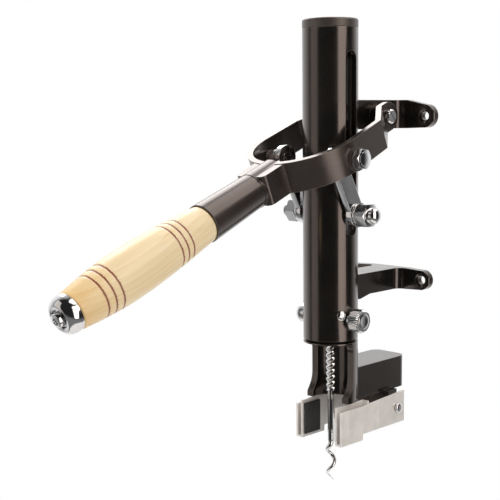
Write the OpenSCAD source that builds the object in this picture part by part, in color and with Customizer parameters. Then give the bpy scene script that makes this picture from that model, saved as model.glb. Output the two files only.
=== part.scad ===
// Wall mounted lever corkscrew: a slotted barrel on two winged brackets, a ring lever
// with a turned wooden grip, two links, a sliding carriage, a twisted spindle with its
// worm, and a pair of sprung jaws for the bottle neck.
// Millimetres. The wall is the plane Y = 0 and the tool reaches out towards -Y.
// Z = 0 is the height of the upper bracket's screws, and +Z is up.

/* [Barrel] */
// Outer diameter of the barrel
barrel_od = 40; // [36:1:46]
// Bore of the barrel
barrel_bore = 32; // [28:0.5:33]
// Distance from the wall to the barrel's axis
wall_reach = 73; // [70:1:90]
// Height of the barrel's rim above the upper screws
barrel_above = 62.5; // [60:0.5:80]
// Depth of the barrel's lower edge below the upper screws
barrel_below = 162; // [158:1:190]
// Chamfer on the barrel's lower edge
barrel_chamfer = 2; // [0.5:0.5:3]
// Height of the cap's visible band
cap_h = 6.5; // [4:0.5:10]
// Depth of the cap's spigot in the bore
cap_spigot = 4; // [2:0.5:4.5]

/* [Slots] */
// Width of the two side slots
slot_w = 12; // [10:0.5:14]
// Height of the slots' upper end above the upper screws
slot_above = 46; // [45:0.5:50]
// Depth of the slots' lower end below the upper screws
slot_below = 84; // [80:1:100]

/* [Lever] */
// Distance of the lever's hinge behind the barrel's axis
hinge_back = 40; // [38:0.5:44]
// Downward tilt of the lever at rest
lever_tilt = 22; // [20:1:24]
// Lift of the lever from rest to its upper limit
lever_lift = 110; // [100:1:112]
// Distance from the hinge to the ring's centre
ring_reach = 68; // [66:0.5:72]
// Outer radius of the ring
ring_r = 42; // [40:0.5:48]
// Outer half width of the lever at its hinge
arm_half_w = 22; // [22:0.5:26]
// Wall of the ring and the arms
ring_wall = 4; // [3:0.5:4]
// Narrowing of the lever's sides inside the ring's outer radius
side_in = 1.5; // [0.5:0.5:4]
// Distance from the hinge to the bend where the sides turn in
side_reach = 32; // [30:1:36]
// Height of the ring's band
band_h = 22; // [18:1:24]
// Radius of the arms' rounded hinge ends
eye_r = 10.5; // [9:0.5:11]
// Radius of the hinge pin
hinge_pin_r = 4.2; // [3:0.2:5]

/* [Handle] */
// Radius of the handle boss on the ring
boss_r = 12.5; // [11:0.5:14]
// Length of the handle boss, from the ring's front
boss_len = 20; // [20:1:26]
// How far the block behind the handle boss stands out at its sides
boss_block_side = 0.7; // [0.3:0.1:3]
// Length of that block, from the ring's front
boss_block_len = 19; // [10:0.5:19.5]
// Length of the black socket
socket_len = 49; // [40:1:70]
// Radius of the socket where it meets the grip
socket_r = 13.5; // [12:0.5:15]
// Length of the wooden grip
grip_len = 113; // [90:1:140]
// Largest radius of the wooden grip
grip_r = 16.4; // [15:0.2:18]
// Radius of the grip's outer end
grip_end_r = 12.7; // [11:0.1:14]
// Height of the domed end cap
end_cap_h = 12; // [9:0.5:14]
// Radius of the tie rod
tie_rod_r = 4; // [3:0.5:5]
// Corner radius of the tie rod's nut
rod_nut_r = 8.6; // [8:0.1:9]
// Height of the tie rod's nut
rod_nut_h = 6.5; // [5:0.5:7]
// Radius of the washer under the tie rod's nut
rod_washer_r = 10; // [9.5:0.1:10.5]

/* [Links] */
// Centre distance of a link
link_len = 46; // [45:0.5:50]
// Thickness of a link
link_t = 5; // [3:0.5:5]
// Radius of a link's eyes
link_eye_r = 9; // [8:0.5:10]
// Width of a link between its eyes
link_w = 13; // [10:0.5:16]
// Gap between the barrel and a link
link_gap = 1.5; // [0.5:0.5:2]
// Drop of the link pivot below the lever's centre plane
pivot_drop = 3; // [1:0.5:4]

/* [Carriage] */
// Length of the carriage
carriage_h = 30; // [24:1:31]
// Radius of a trunnion where it passes the slot and the link
trunnion_r = 5; // [4:0.5:5]
// Radius of the trunnions' threaded ends
trunnion_thread_r = 4; // [3:0.5:4]

/* [Spindle and worm] */
// Radius of the twisted spindle
spindle_r = 4; // [3:0.25:4.5]
// Lead of the spindle's twist and of the worm
worm_lead = 18; // [14:1:22]
// Depth of the twisted part's lower end below the upper screws
twist_below = 200; // [190:1:204]
// Length of the worm's plain shank
shank_len = 38; // [25:1:50]
// Radius of the plain shank
shank_r = 2.3; // [1.8:0.1:2.8]
// Length of the helix
helix_len = 32; // [24:1:48]
// Outer radius of the helix
helix_r = 4.1; // [3.6:0.1:5]
// Radius of the helix's wire
wire_r = 1.4; // [1:0.1:1.6]
// Length of the guide nut in the barrel
guide_h = 24; // [16:1:28]
// Height of the guide nut's bolts above the barrel's lower edge
guide_up = 17; // [15:0.5:24]

/* [Brackets] */
// Radius of the upper wings' rounded ends
wing_end_upper = 8.6; // [7:0.1:9.5]
// Radius of the lower wings' rounded ends
wing_end_lower = 7.4; // [6.5:0.1:7.8]
// Thickness of the wings
wing_t = 6; // [4:0.5:8]
// Height of the upper bracket
upper_h = 21; // [16:1:26]
// Height of the lower bracket
lower_h = 16; // [13:1:24]
// Distance between the two screw holes of the upper bracket
upper_spacing = 67; // [62:0.5:70]
// Distance between the two screw holes of the lower bracket
lower_spacing = 63; // [60:0.5:70]
// Depth of the lower screws below the upper screws
bracket_drop = 123; // [105:1:130]
// Radius of the wall screws' holes
wall_hole_r = 3.2; // [2.2:0.1:3.5]
// Half width of the webs between the barrel and the wall
web_half = 11; // [8:0.5:11.5]
// Radius of the countersunk screws that hold the brackets
bracket_screw_r = 2.5; // [2:0.25:3]

/* [Bottle rest] */
// Height of the open neck and mouth below the barrel
neck_h = 45; // [40:1:50]
// Inner radius of the neck and the mouth
neck_bore_r = 14.5; // [13:0.5:15.5]
// Height of the straight lip below the neck's curved front
mouth_h = 4; // [3:0.5:6]
// Height of the neck's curved front over the lip
mouth_rise = 14; // [12:1:18]
// Reach of the mouth's collar in front of the barrel's axis
mouth_front = 4; // [0:0.5:8]
// Half width of the rear block
block_half = 15; // [12:0.5:16]
// Height of the rear block
block_h = 24; // [16:1:28]
// Gap between the rear block and the wall
block_wall_gap = 1; // [0.5:0.5:6]

/* [Jaws] */
// Outer half width of the jaws
jaw_half = 21.8; // [21:0.1:25]
// Thickness of the jaws' plate
jaw_t = 1.6; // [1:0.1:2.5]
// Height of the jaws' rear plate
jaw_h = 24; // [18:1:28]
// Reach of the jaws in front of the barrel's axis
jaw_front = 14; // [10:0.5:20]
// Length of the jaws' folded front
jaw_fold_len = 25; // [20:0.5:28]
// Gap between the two rubber pads
pad_gap = 28; // [26:0.5:29]
// Thickness of a rubber pad
pad_t = 1.6; // [1:0.1:2]
// Distance of the jaws' screws behind the barrel's axis
jaw_pivot_back = 52; // [46:0.5:56]
// Opening of a jaw, in degrees
jaw_open = 5; // [2:0.5:6]
// Radius of the jaw screws' heads
jaw_screw_head_r = 3.5; // [3.2:0.1:5]

/* [Fasteners and fits] */
// Radial clearance of the running pins
running_gap = 0.05; // [0.02:0.01:0.1]
// Clearance of the parts that slide or pass close by
sliding_gap = 0.3; // [0.2:0.05:0.5]
// Radial clearance of the fixed joints
seat_gap = 0.02; // [0.01:0.01:0.05]
// Radius over the corners of the cap nuts
nut_r = 9; // [7:0.25:9]
// Height of the cap nuts' hexagon
nut_h = 9; // [5:0.5:9]
// Radius of the pivot bolts' heads over their corners
pivot_head_r = 7.5; // [6:0.25:9]
// Radius of the pivot bolts
pivot_bolt_r = 4; // [3:0.5:5]
// Radius of the knurled guide bolt's head
knurled_r = 8.5; // [6:0.5:10]
// Length of the knurled head
knurled_len = 9; // [6:0.5:12]
// Thickness of the flat washers
washer_t = 1.6; // [1:0.1:2]

/* [Hidden] */
$fn = 48;

// Colours
black_paint = "#1d1b1a";
chrome = "#c9cbce";
steel = "#9a9da1";
wood = "#e2c48c";
rubber = "#2a2a2a";
bronze = "#a9793a";

// Barrel
barrel_r = barrel_od / 2;
bore_r = barrel_bore / 2;
axis_y = -wall_reach;
slot_end_r = slot_w / 2;
rest_z = -barrel_below - neck_h;
block_rear = wall_reach - block_wall_gap;

// Lever: its frame has the hinge at the origin and the handle towards -Y
hinge_y = axis_y + hinge_back;
ring_front = ring_reach + ring_r;
rod_seat = ring_front - ring_wall + 0.2;
socket_start = ring_front + boss_len;
grip_start = socket_start + socket_len;
grip_stop = grip_start + grip_len;
pin_head_r = hinge_pin_r + 1;
pin_head_x = arm_half_w + sliding_gap;
pin_head_t = 3;
lug_r = eye_r - 1.5;
lug_x = arm_half_w - ring_wall - sliding_gap;
arm_flat = pin_head_r + 0.3;
side_half = ring_r - side_in;
block_side_x = boss_r + boss_block_side;
arm_turn = atan2(side_half - arm_half_w, side_reach - arm_flat);
blend_ease = 0.08;
spacer_r = pivot_bolt_r + 2.5;
ring_boss_out = ring_r + 1.2;
ring_boss_in = sqrt(pow(ring_r - ring_wall, 2) - pow(spacer_r, 2)) - 0.05;
pivot_boss_r = pivot_head_r + 0.8;
pivot_head_h = 5;

// The link's upper pivot, measured from the barrel's axis and the upper screws
pivot_y = hinge_back - ring_reach * cos(lever_tilt) + pivot_drop * sin(lever_tilt);
pivot_z = -ring_reach * sin(lever_tilt) - pivot_drop * cos(lever_tilt);
carriage_z = pivot_z - sqrt(pow(link_len, 2) - pow(pivot_y, 2));
link_lean = asin(-pivot_y / link_len);

// Motion, for the record
pivot_turn = lever_lift - atan2(-pivot_z, hinge_back - pivot_y);
pivot_len = norm([hinge_back - pivot_y, pivot_z]);
top_pivot_y = hinge_back - pivot_len * cos(pivot_turn);
top_pivot_z = pivot_len * sin(pivot_turn);
top_carriage_z = top_pivot_z - sqrt(pow(link_len, 2) - pow(top_pivot_y, 2));
travel = top_carriage_z - carriage_z;
link_swing = asin(top_pivot_y / link_len) + link_lean;
echo(carriage_z = carriage_z, travel = travel, link_swing = link_swing, link_lean = link_lean,
    pivot_y = pivot_y, pivot_z = pivot_z, worm_turns = travel / worm_lead);

// Links and what stands beside them
link_in = barrel_r + link_gap;
link_out = link_in + link_t;
washer_x = link_out + sliding_gap;
nut_x = washer_x + washer_t;
thread_end = nut_x + nut_h;
stud_in = link_in;
stud_out = link_out + 2.5;
spacer_in = stud_out + 0.4;

// Carriage and spindle
carriage_r = bore_r - sliding_gap;
carriage_top = carriage_z + carriage_h / 2;
carriage_bottom = carriage_z - carriage_h / 2;
trunnion_in = spindle_r + 4.5;
collar_h = 2.2;
collar_r = spindle_r + 3;
spindle_nut_h = 4.7;
thrust_t = 1.2;
spindle_top = carriage_top + sliding_gap + thrust_t + sliding_gap + spindle_nut_h;
guide_z = -barrel_below + guide_up;
guide_bore_r = max(helix_r, spindle_r) + 0.5;
guide_bolt_r = 4;

// Bottle rest and jaws
jaw_top = rest_z - 1;
jaw_low = jaw_top - jaw_h;
fold_low = jaw_low - 4.5;
fold_top = jaw_top - 3;
jaw_in = jaw_half - jaw_t;
jaw_tail = jaw_pivot_back + 9;
jaw_screw_z = jaw_top - jaw_h / 2;
pad_in = pad_gap / 2;
inner_wall_in = pad_in + pad_t;
inner_wall_out = inner_wall_in + jaw_t;
lug_half = jaw_in - 0.4;
lug_front = jaw_pivot_back - 8;
lug_rear = jaw_pivot_back + 2;
neck_front = 2;
neck_run = neck_front + mouth_front;
flare_r = 6;
upper_low = 1.5 - upper_h / 2;
block_corner_r = 7;
gusset_drop = 2.5;
jaw_screw_r = 2.5;

// Points of an arc, for profiles with rounded corners
function arc(cx, cy, r, from, to, n = 8) =
    [for (i = [0:n]) let (a = from + (to - from) * i / n) [cx + r * cos(a), cy + r * sin(a)]];

// Moves the children from the barrel's axis into the part's frame
module on_axis() translate([0, axis_y, 0]) children();

// Moves the children from the lever's frame into the part's frame
module on_lever() translate([0, hinge_y, 0]) rotate([lever_tilt, 0, 0]) children();

// A cylinder along X from x0 to x1, at y and z
module rod_x(r, x0, x1, y = 0, z = 0) {
    translate([min(x0, x1), y, z]) rotate([0, 90, 0]) cylinder(r = r, h = abs(x1 - x0));
}

// A cylinder along -Y of the lever's frame, from u0 to u1 in front of the hinge
module rod_u(r0, u0, u1, r1 = undef) {
    translate([0, -u0, 0]) rotate([90, 0, 0])
        cylinder(r1 = r0, r2 = is_undef(r1) ? r0 : r1, h = u1 - u0);
}

// A ring between two radii, along Z
module tube(r_out, r_in, z0, z1) {
    difference() {
        translate([0, 0, z0]) cylinder(r = r_out, h = z1 - z0);
        translate([0, 0, z0 - 1]) cylinder(r = r_in, h = z1 - z0 + 2);
    }
}

// A slot with round ends, cut through the wall on the side given by s
module side_slot(s) {
    x0 = s > 0 ? 0 : -barrel_od;
    for (z = [slot_above - slot_end_r, -slot_below + slot_end_r]) rod_x(slot_end_r, x0, x0 + barrel_od, 0, z);
    translate([x0, -slot_end_r, -slot_below + slot_end_r])
        cube([barrel_od, slot_w, slot_above + slot_below - slot_w]);
}

// ---- Barrel and brackets ----

module barrel() color(black_paint) on_axis() {
    difference() {
        union() {
            translate([0, 0, -barrel_below + barrel_chamfer])
                cylinder(r = barrel_r, h = barrel_above + barrel_below - barrel_chamfer);
            translate([0, 0, -barrel_below])
                cylinder(r1 = barrel_r - barrel_chamfer, r2 = barrel_r, h = barrel_chamfer);
        }
        translate([0, 0, -barrel_below - 1]) cylinder(r = bore_r, h = barrel_above + barrel_below + 2);
        for (s = [-1, 1]) side_slot(s);
        rod_x(guide_bolt_r + seat_gap, -barrel_r - 1, barrel_r + 1, 0, guide_z);
        for (z = bracket_screw_heights()) bracket_screw(z, seat_gap);
        lock_screw_at() translate([0, 0, -6]) cylinder(r = lock_screw_r + seat_gap, h = 8);
    }
}

module top_cap() color(black_paint) on_axis() difference() {
    union() {
        translate([0, 0, barrel_above]) cylinder(r = barrel_r, h = cap_h - 1);
        translate([0, 0, barrel_above + cap_h - 1]) cylinder(r1 = barrel_r, r2 = barrel_r - 1, h = 1);
        translate([0, 0, barrel_above - cap_spigot]) cylinder(r = bore_r - seat_gap, h = cap_spigot + 1);
    }
    // the cap is hollow from below
    translate([0, 0, barrel_above - cap_spigot - 1]) cylinder(r = bore_r - 3, h = cap_spigot + 2.5);
}

function bracket_screw_heights() = [upper_h / 4, -upper_h / 4,
    -bracket_drop + lower_h / 4, -bracket_drop - lower_h / 4];

// One countersunk screw from inside the bore into a bracket's web
module bracket_screw(z, extra = 0) {
    head_r = bracket_screw_r * 1.7;
    head_y = bore_r;
    translate([0, head_y - (extra > 0 ? 3 : 0), z]) rotate([-90, 0, 0])
        cylinder(r = head_r + extra, h = 0.4 + (extra > 0 ? 3 : 0));
    translate([0, head_y + 0.4, z]) rotate([-90, 0, 0])
        cylinder(r1 = head_r + extra, r2 = bracket_screw_r + extra, h = head_r - bracket_screw_r);
    translate([0, head_y, z]) rotate([-90, 0, 0]) cylinder(r = bracket_screw_r + extra, h = 14 + extra);
}

module bracket_screws() color(black_paint) on_axis() for (z = bracket_screw_heights()) bracket_screw(z);

// Plan of a bracket: a web from the barrel, flaring into two wings at the wall
module bracket_plan(wing_half) {
    wing_front = wall_reach - wing_t;
    translate([-web_half, 0]) square([2 * web_half, wall_reach]);
    translate([-wing_half + wing_t / 2, wing_front]) square([2 * wing_half - wing_t, wing_t]);
    for (s = [-1, 1]) {
        translate([s * (wing_half - wing_t / 2), wing_front + wing_t / 2]) circle(r = wing_t / 2);
        translate([s * (wing_half - wing_t / 2), wing_front + wing_t * 0.75])
            square([wing_t, wing_t / 2], center = true);
        // concave flare between the web and the wing
        difference() {
            translate([s > 0 ? web_half - 1 : -web_half - flare_r, wing_front - flare_r])
                square([flare_r + 1, flare_r + 1]);
            translate([s * (web_half + flare_r), wing_front - flare_r]) circle(r = flare_r);
        }
    }
}

// The two screw holes of a bracket at the height z
module wall_holes(z, spacing) {
    for (s = [-1, 1]) {
        translate([s * spacing / 2, wall_reach + 1, z]) rotate([90, 0, 0])
            cylinder(r = wall_hole_r, h = wing_t + 2);
        translate([s * spacing / 2, wall_reach - wing_t + 1.6, z]) rotate([90, 0, 0])
            cylinder(r1 = wall_hole_r, r2 = wall_hole_r + 2, h = 1.7);
    }
}

// Point where a line from (x, y) touches a circle round (cx, 0), above it for side 1 and below for -1
function touch_point(x, y, cx, r, side) = let (
        lean = atan2(-y, cx - x) + side * asin(r / norm([cx - x, y])))
    [cx - side * r * sin(lean), side * r * cos(lean)];

// Front view of a bracket: the wings narrow from the web to a round end at each screw hole
module wing_front_view(spacing, end_r, low, high) {
    root = web_half + flare_r + 1;
    hole_x = spacing / 2;
    upper = touch_point(root, high, hole_x, end_r - blend_ease, 1);
    lower = touch_point(root, low, hole_x, end_r - blend_ease, -1);
    polygon([[-root, low], [root, low], lower, upper, [root, high],
        [-root, high], [-upper[0], upper[1]], [-lower[0], lower[1]]]);
    for (s = [-1, 1]) translate([s * hole_x, 0]) circle(r = end_r);
}

module upper_bracket() color(black_paint) on_axis() difference() {
    union() {
        intersection() {
            translate([0, 0, upper_low]) linear_extrude(upper_h)
                bracket_plan(upper_spacing / 2 + wing_end_upper);
            rotate([90, 0, 0]) translate([0, 0, -wall_reach - 1]) linear_extrude(wall_reach + 1)
                wing_front_view(upper_spacing, wing_end_upper, upper_low, upper_low + upper_h);
        }
        rod_x(lug_r, -lug_x, lug_x, hinge_back, 0);
    }
    translate([0, 0, -50]) cylinder(r = barrel_r + seat_gap, h = 100);
    rod_x(hinge_pin_r + seat_gap, -40, 40, hinge_back, 0);
    wall_holes(0, upper_spacing);
    for (z = bracket_screw_heights()) bracket_screw(z, seat_gap);
}

module lower_bracket() color(black_paint) on_axis() difference() {
    union() {
        intersection() {
            translate([0, 0, -bracket_drop - lower_h / 2]) linear_extrude(lower_h)
                bracket_plan(lower_spacing / 2 + wing_end_lower);
            translate([0, 0, -bracket_drop]) rotate([90, 0, 0]) translate([0, 0, -wall_reach - 1])
                linear_extrude(wall_reach + 1)
                    wing_front_view(lower_spacing, wing_end_lower, -lower_h / 2, lower_h / 2);
        }
        // sloping gusset under the web, at the barrel
        translate([-web_half, 0, 0]) rotate([90, 0, 90]) linear_extrude(2 * web_half)
            polygon([[0, -bracket_drop], [0, -bracket_drop - lower_h / 2 - gusset_drop],
                [barrel_r + 1, -bracket_drop - lower_h / 2 - gusset_drop],
                [barrel_r + 12, -bracket_drop - lower_h / 2], [barrel_r + 12, -bracket_drop]]);
    }
    translate([0, 0, -bracket_drop - 50]) cylinder(r = barrel_r + seat_gap, h = 100);
    wall_holes(-bracket_drop, lower_spacing);
    for (z = bracket_screw_heights()) bracket_screw(z, seat_gap);
}

// The hinge pin has a slotted head at each end
module hinge_pin() color(chrome) on_axis() translate([0, hinge_back, 0]) difference() {
    union() {
        rod_x(hinge_pin_r, -pin_head_x - 1, pin_head_x + 1);
        for (s = [-1, 1]) {
            rod_x(pin_head_r, s * pin_head_x, s * (pin_head_x + pin_head_t - 1));
            translate([s * (pin_head_x + pin_head_t - 1), 0, 0]) rotate([0, s * 90, 0])
                cylinder(r1 = pin_head_r, r2 = pin_head_r - 1, h = 1);
        }
    }
    for (s = [-1, 1]) translate([s * (pin_head_x + pin_head_t), 0, 0]) rotate([35, 0, 0])
        cube([2.4, 1.2, 4 * pin_head_r], center = true);
}

// ---- Lever and handle ----

// Prism over the lever's plan, taken in by the inset: a round front, sides that run back from
// it, and arms that turn in to flat hinge ends
module lever_prism(inset, half_h) {
    r = ring_r - inset;
    shift = inset * tan(arm_turn / 2);
    side = [side_half - inset, ring_reach - side_reach - shift];
    foot = [arm_half_w - inset, ring_reach - arm_flat - shift];
    touch = touch_point(side[0], side[1], 0, r - blend_ease, 1);
    half_plan = [touch, side, foot, [foot[0], ring_reach + 2 * eye_r]];
    translate([0, -ring_reach, -half_h]) {
        cylinder(r = r, h = 2 * half_h);
        linear_extrude(2 * half_h)
            polygon(concat(half_plan, [for (i = [3:-1:0]) [-half_plan[i][0], half_plan[i][1]]]));
    }
}

// Side view of the lever's band, with a round hinge end
module lever_side() {
    half = band_h / 2;
    polygon(concat([[-ring_front - 1, half], [-ring_front - 1, -half]], arc(0, 0, eye_r, 262, 450, 16)));
}

// Block with rounded front corners between the ring and the handle boss
module boss_block() {
    corner_r = 4;
    rear = ring_front - ring_wall - 2;
    front = ring_front + boss_block_len;
    side = block_side_x - corner_r;
    half_h = band_h / 2 - 0.4;
    translate([0, 0, -half_h]) linear_extrude(2 * half_h) polygon(concat(
        [[-block_side_x, -rear]],
        arc(-side, corner_r - front, corner_r, 180, 270, 6),
        arc(side, corner_r - front, corner_r, 270, 360, 6),
        [[block_side_x, -rear]]));
}

module lever_ring() color(black_paint) on_lever() difference() {
    union() {
        intersection() {
            lever_prism(0, band_h);
            translate([-60, 0, 0]) rotate([90, 0, 90]) linear_extrude(120) lever_side();
        }
        for (s = [-1, 1])
            rod_x(pivot_boss_r, s * (ring_r - ring_wall / 2), s * ring_boss_out, -ring_reach, -pivot_drop);
        rod_u(boss_r, ring_reach + ring_r * 0.85, socket_start);
        boss_block();
    }
    lever_prism(ring_wall, band_h + 5);
    rod_x(hinge_pin_r + running_gap, -60, 60, 0, 0);
    rod_x(pivot_bolt_r + seat_gap, -60, 60, -ring_reach, -pivot_drop);
    rod_u(tie_rod_r + seat_gap, ring_reach, socket_start + 1);
    rod_u(rod_washer_r + 0.5, ring_reach, rod_seat);
}

module handle_socket() color(black_paint) on_lever() difference() {
    rod_u(boss_r - 0.3, socket_start, grip_start, socket_r);
    rod_u(tie_rod_r + seat_gap, socket_start - 1, grip_start + 1);
}

// Turned profile of the grip, as radius against distance from its inner end
function grip_radius(t) = let (
        swell = grip_r - socket_r, fall = grip_r - grip_end_r,
        peak = 0.66)
    t < peak ? socket_r + 0.4 + (swell - 0.4) * sin(90 * t / peak)
        : grip_r - fall * (1 - cos(90 * (t - peak) / (1 - peak)));

module wood_grip() color(wood) on_lever() translate([0, -grip_start, 0]) rotate([90, 0, 0])
    rotate_extrude() polygon(concat(
        [[tie_rod_r + seat_gap, 0]],
        [for (i = [0:24]) [grip_radius(i / 24), grip_len * i / 24]],
        [[tie_rod_r + seat_gap, grip_len]]));

module tie_rod() color(steel) on_lever()
    rod_u(tie_rod_r, rod_seat - 9, grip_stop + end_cap_h - 5);

module end_cap() color(chrome) on_lever() translate([0, -grip_stop, 0]) rotate([90, 0, 0])
    rotate_extrude() polygon(concat(
        [[0, end_cap_h - 4.9], [tie_rod_r + seat_gap, end_cap_h - 4.9], [tie_rod_r + seat_gap, 0],
            [grip_end_r - 0.3, 0], [grip_end_r - 0.3, 2]],
        arc(grip_end_r - 6.3, 2, 6, 0, 80, 8),
        [[5.5, 8.2], [5.5, end_cap_h - 1], [4.5, end_cap_h], [0, end_cap_h]]));

module tie_rod_washer() color(chrome) on_lever() difference() {
    rod_u(rod_washer_r, rod_seat - washer_t, rod_seat);
    rod_u(tie_rod_r + seat_gap, rod_seat - 5, rod_seat + 1);
}

module tie_rod_nut() color(chrome) on_lever() difference() {
    translate([0, -(rod_seat - washer_t - rod_nut_h), 0]) rotate([90, 30, 0])
        cylinder(r = rod_nut_r, h = rod_nut_h, $fn = 6);
    rod_u(tie_rod_r + seat_gap, rod_seat - 12, rod_seat);
}

// A pivot bolt: domed hexagon head outside the ring, shank through the ring and the spacer
module pivot_bolt(s) color(chrome) on_lever() {
    head = ring_boss_out + washer_t;
    translate([s * head, -ring_reach, -pivot_drop]) rotate([0, s * 90, 0]) {
        intersection() {
            cylinder(r = pivot_head_r, h = pivot_head_h, $fn = 6);
            cylinder(r1 = pivot_head_r + 2.5, r2 = pivot_head_r - 1.2, h = pivot_head_h);
        }
    }
    rod_x(pivot_bolt_r, s * spacer_in, s * (head + 1), -ring_reach, -pivot_drop);
}

module pivot_bolt_right() pivot_bolt(1);
module pivot_bolt_left() pivot_bolt(-1);

module pivot_washers() color(steel) on_lever() for (s = [-1, 1]) difference() {
    rod_x(pivot_head_r + 0.3, s * ring_boss_out, s * (ring_boss_out + washer_t), -ring_reach, -pivot_drop);
    rod_x(pivot_bolt_r + seat_gap, -60, 60, -ring_reach, -pivot_drop);
}

module pivot_spacers() color(chrome) on_lever() for (s = [-1, 1]) difference() {
    rod_x(spacer_r, s * spacer_in, s * ring_boss_in, -ring_reach, -pivot_drop);
    rod_x(pivot_bolt_r + seat_gap, -60, 60, -ring_reach, -pivot_drop);
}

// ---- Links and carriage ----

// A link, leaning forward from the trunnion to the pivot
module link(s) color(chrome) on_axis() translate([0, 0, carriage_z]) rotate([link_lean, 0, 0]) difference() {
    union() {
        for (z = [0, link_len]) rod_x(link_eye_r, s * link_in, s * link_out, 0, z);
        translate([s > 0 ? link_in : -link_out, -link_w / 2, 0]) cube([link_t, link_w, link_len]);
    }
    rod_x(trunnion_r + running_gap, -50, 50, 0, 0);
    rod_x(pivot_bolt_r + seat_gap, -50, 50, 0, link_len);
}

module link_right() link(1);
module link_left() link(-1);

// The stud in a link's upper eye; the pivot bolt's spacer ends just outside it
module link_stud(s) color(chrome) on_axis() translate([0, 0, carriage_z]) rotate([link_lean, 0, 0]) {
    rod_x(pivot_bolt_r, s * stud_in, s * (link_out + 0.5), 0, link_len);
    rod_x(pivot_bolt_r + 2.5, s * link_out, s * stud_out, 0, link_len);
}

module link_stud_right() link_stud(1);
module link_stud_left() link_stud(-1);

module carriage() color(steel) on_axis() difference() {
    translate([0, 0, carriage_bottom]) cylinder(r = carriage_r, h = carriage_h);
    translate([0, 0, carriage_bottom - 1]) cylinder(r = spindle_r + running_gap, h = carriage_h + 2);
    for (s = [-1, 1]) rod_x(trunnion_r + seat_gap, s * trunnion_in, s * 20, 0, carriage_z);
}

module trunnions() color(steel) on_axis() for (s = [-1, 1]) {
    rod_x(trunnion_r, s * (trunnion_in + seat_gap), s * washer_x, 0, carriage_z);
    rod_x(trunnion_thread_r, s * (washer_x - 1), s * thread_end, 0, carriage_z);
}

module link_washers() color(chrome) on_axis() for (s = [-1, 1]) difference() {
    rod_x(nut_r - 0.5, s * washer_x, s * nut_x, 0, carriage_z);
    rod_x(trunnion_thread_r + seat_gap, -60, 60, 0, carriage_z);
}

// Cap nuts: a hexagon with a smaller dome outside
module cap_nuts() color(chrome) on_axis() for (s = [-1, 1]) difference() {
    translate([s * nut_x, 0, carriage_z]) rotate([0, s * 90, 0]) {
        intersection() {
            rotate([0, 0, 30]) cylinder(r = nut_r, h = nut_h, $fn = 6);
            cylinder(r1 = nut_r + 2, r2 = nut_r - 1, h = nut_h);
        }
        translate([0, 0, nut_h - 0.5]) cylinder(r = nut_r * 0.62, h = 4);
        translate([0, 0, nut_h + 3.5]) scale([1, 1, 0.6]) sphere(r = nut_r * 0.62);
    }
    rod_x(trunnion_thread_r + seat_gap, s * (nut_x - 1), s * (thread_end + seat_gap), 0, carriage_z);
}

// ---- Spindle, worm and guide ----

// The twisted four-start part below the carriage, with a plain journal and a thrust collar
module spindle() color(chrome) on_axis() {
    twist_top = carriage_bottom - sliding_gap - collar_h;
    twist_h = twist_top + twist_below;
    translate([0, 0, twist_top - 0.01]) cylinder(r = collar_r, h = collar_h + 0.01);
    translate([0, 0, twist_top]) cylinder(r = spindle_r, h = spindle_top - twist_top);
    translate([0, 0, -twist_below]) linear_extrude(twist_h, twist = -360 * twist_h / worm_lead,
        slices = round(16 * twist_h / worm_lead), convexity = 4)
        polygon([for (i = [0:15]) let (r = spindle_r * (i % 4 == 0 ? 1 : i % 4 == 2 ? 0.66 : 0.86))
            [r * cos(22.5 * i), r * sin(22.5 * i)]]);
}

module thrust_washer() color(bronze) on_axis()
    translate([0, 0, carriage_top + sliding_gap / 2])
        tube(collar_r + 1, spindle_r + running_gap, 0, thrust_t);

module spindle_nut() color(steel) on_axis() difference() {
    translate([0, 0, spindle_top - spindle_nut_h]) cylinder(r = 7.5, h = spindle_nut_h, $fn = 6);
    translate([0, 0, spindle_top - spindle_nut_h - 1]) cylinder(r = spindle_r + seat_gap, h = spindle_nut_h + 2);
}

// Centre line of the worm: a straight shank, then a helix that grows out from the axis.
// Station 0 is the top of the shank and station 1 is where the helix starts.
function helix_part(i) = max(0, i - 1) / worm_stations;
function helix_growth(t) = let (k = min(1, 4 * t)) k * k * (3 - 2 * k);
function worm_point(i) = let (
        t = helix_part(i),
        turn = -360 * helix_len * t / worm_lead,
        r = (helix_r - wire_r) * helix_growth(t))
    i < 1 ? [0, 0, 0] : [r * cos(turn), r * sin(turn), -shank_len - helix_len * t];
function worm_heading(i) = let (
        d = worm_point(min(i + 1, worm_stations + 1)) - worm_point(max(i - 1, 0)))
    d / norm(d);
function worm_wire(i) = let (t = helix_part(i))
    t < 0.25 ? shank_r + (wire_r - shank_r) * 4 * t
        : wire_r * (t > 0.7 ? max(0.12, 1 - (t - 0.7) / 0.32) : 1);

// Ring of points round the centre line at a station
function worm_ring(i) = let (
        ahead = worm_heading(i),
        side = [1, 0, 0] - ahead * ahead[0],
        u = side / norm(side), v = cross(ahead, u), w = worm_wire(i))
    [for (k = [0:worm_sides - 1]) let (a = 360 * k / worm_sides)
        worm_point(i) + w * (cos(a) * u + sin(a) * v)];

worm_stations = 44;
worm_sides = 10;

module worm() color(chrome) on_axis() translate([0, 0, -twist_below]) {
    n = worm_sides;
    last = (worm_stations + 1) * n;
    points = [for (i = [0:worm_stations + 1]) each worm_ring(i)];
    sides = [for (i = [0:worm_stations], k = [0:n - 1]) let (a = i * n + k, b = i * n + (k + 1) % n)
        each [[a, b + n, b], [a, a + n, b + n]]];
    ends = [for (k = [1:n - 2]) each [[0, k, k + 1], [last, last + k + 1, last + k]]];
    polyhedron(points, concat(sides, ends), convexity = 8);
}

module guide_nut() color(bronze) on_axis() difference() {
    translate([0, 0, guide_z - guide_h / 2]) cylinder(r = bore_r - sliding_gap / 2, h = guide_h);
    translate([0, 0, guide_z - guide_h / 2 - 1]) cylinder(r = guide_bore_r, h = guide_h + 2);
    rod_x(guide_bolt_r + seat_gap, -30, 30, 0, guide_z);
}

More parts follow.
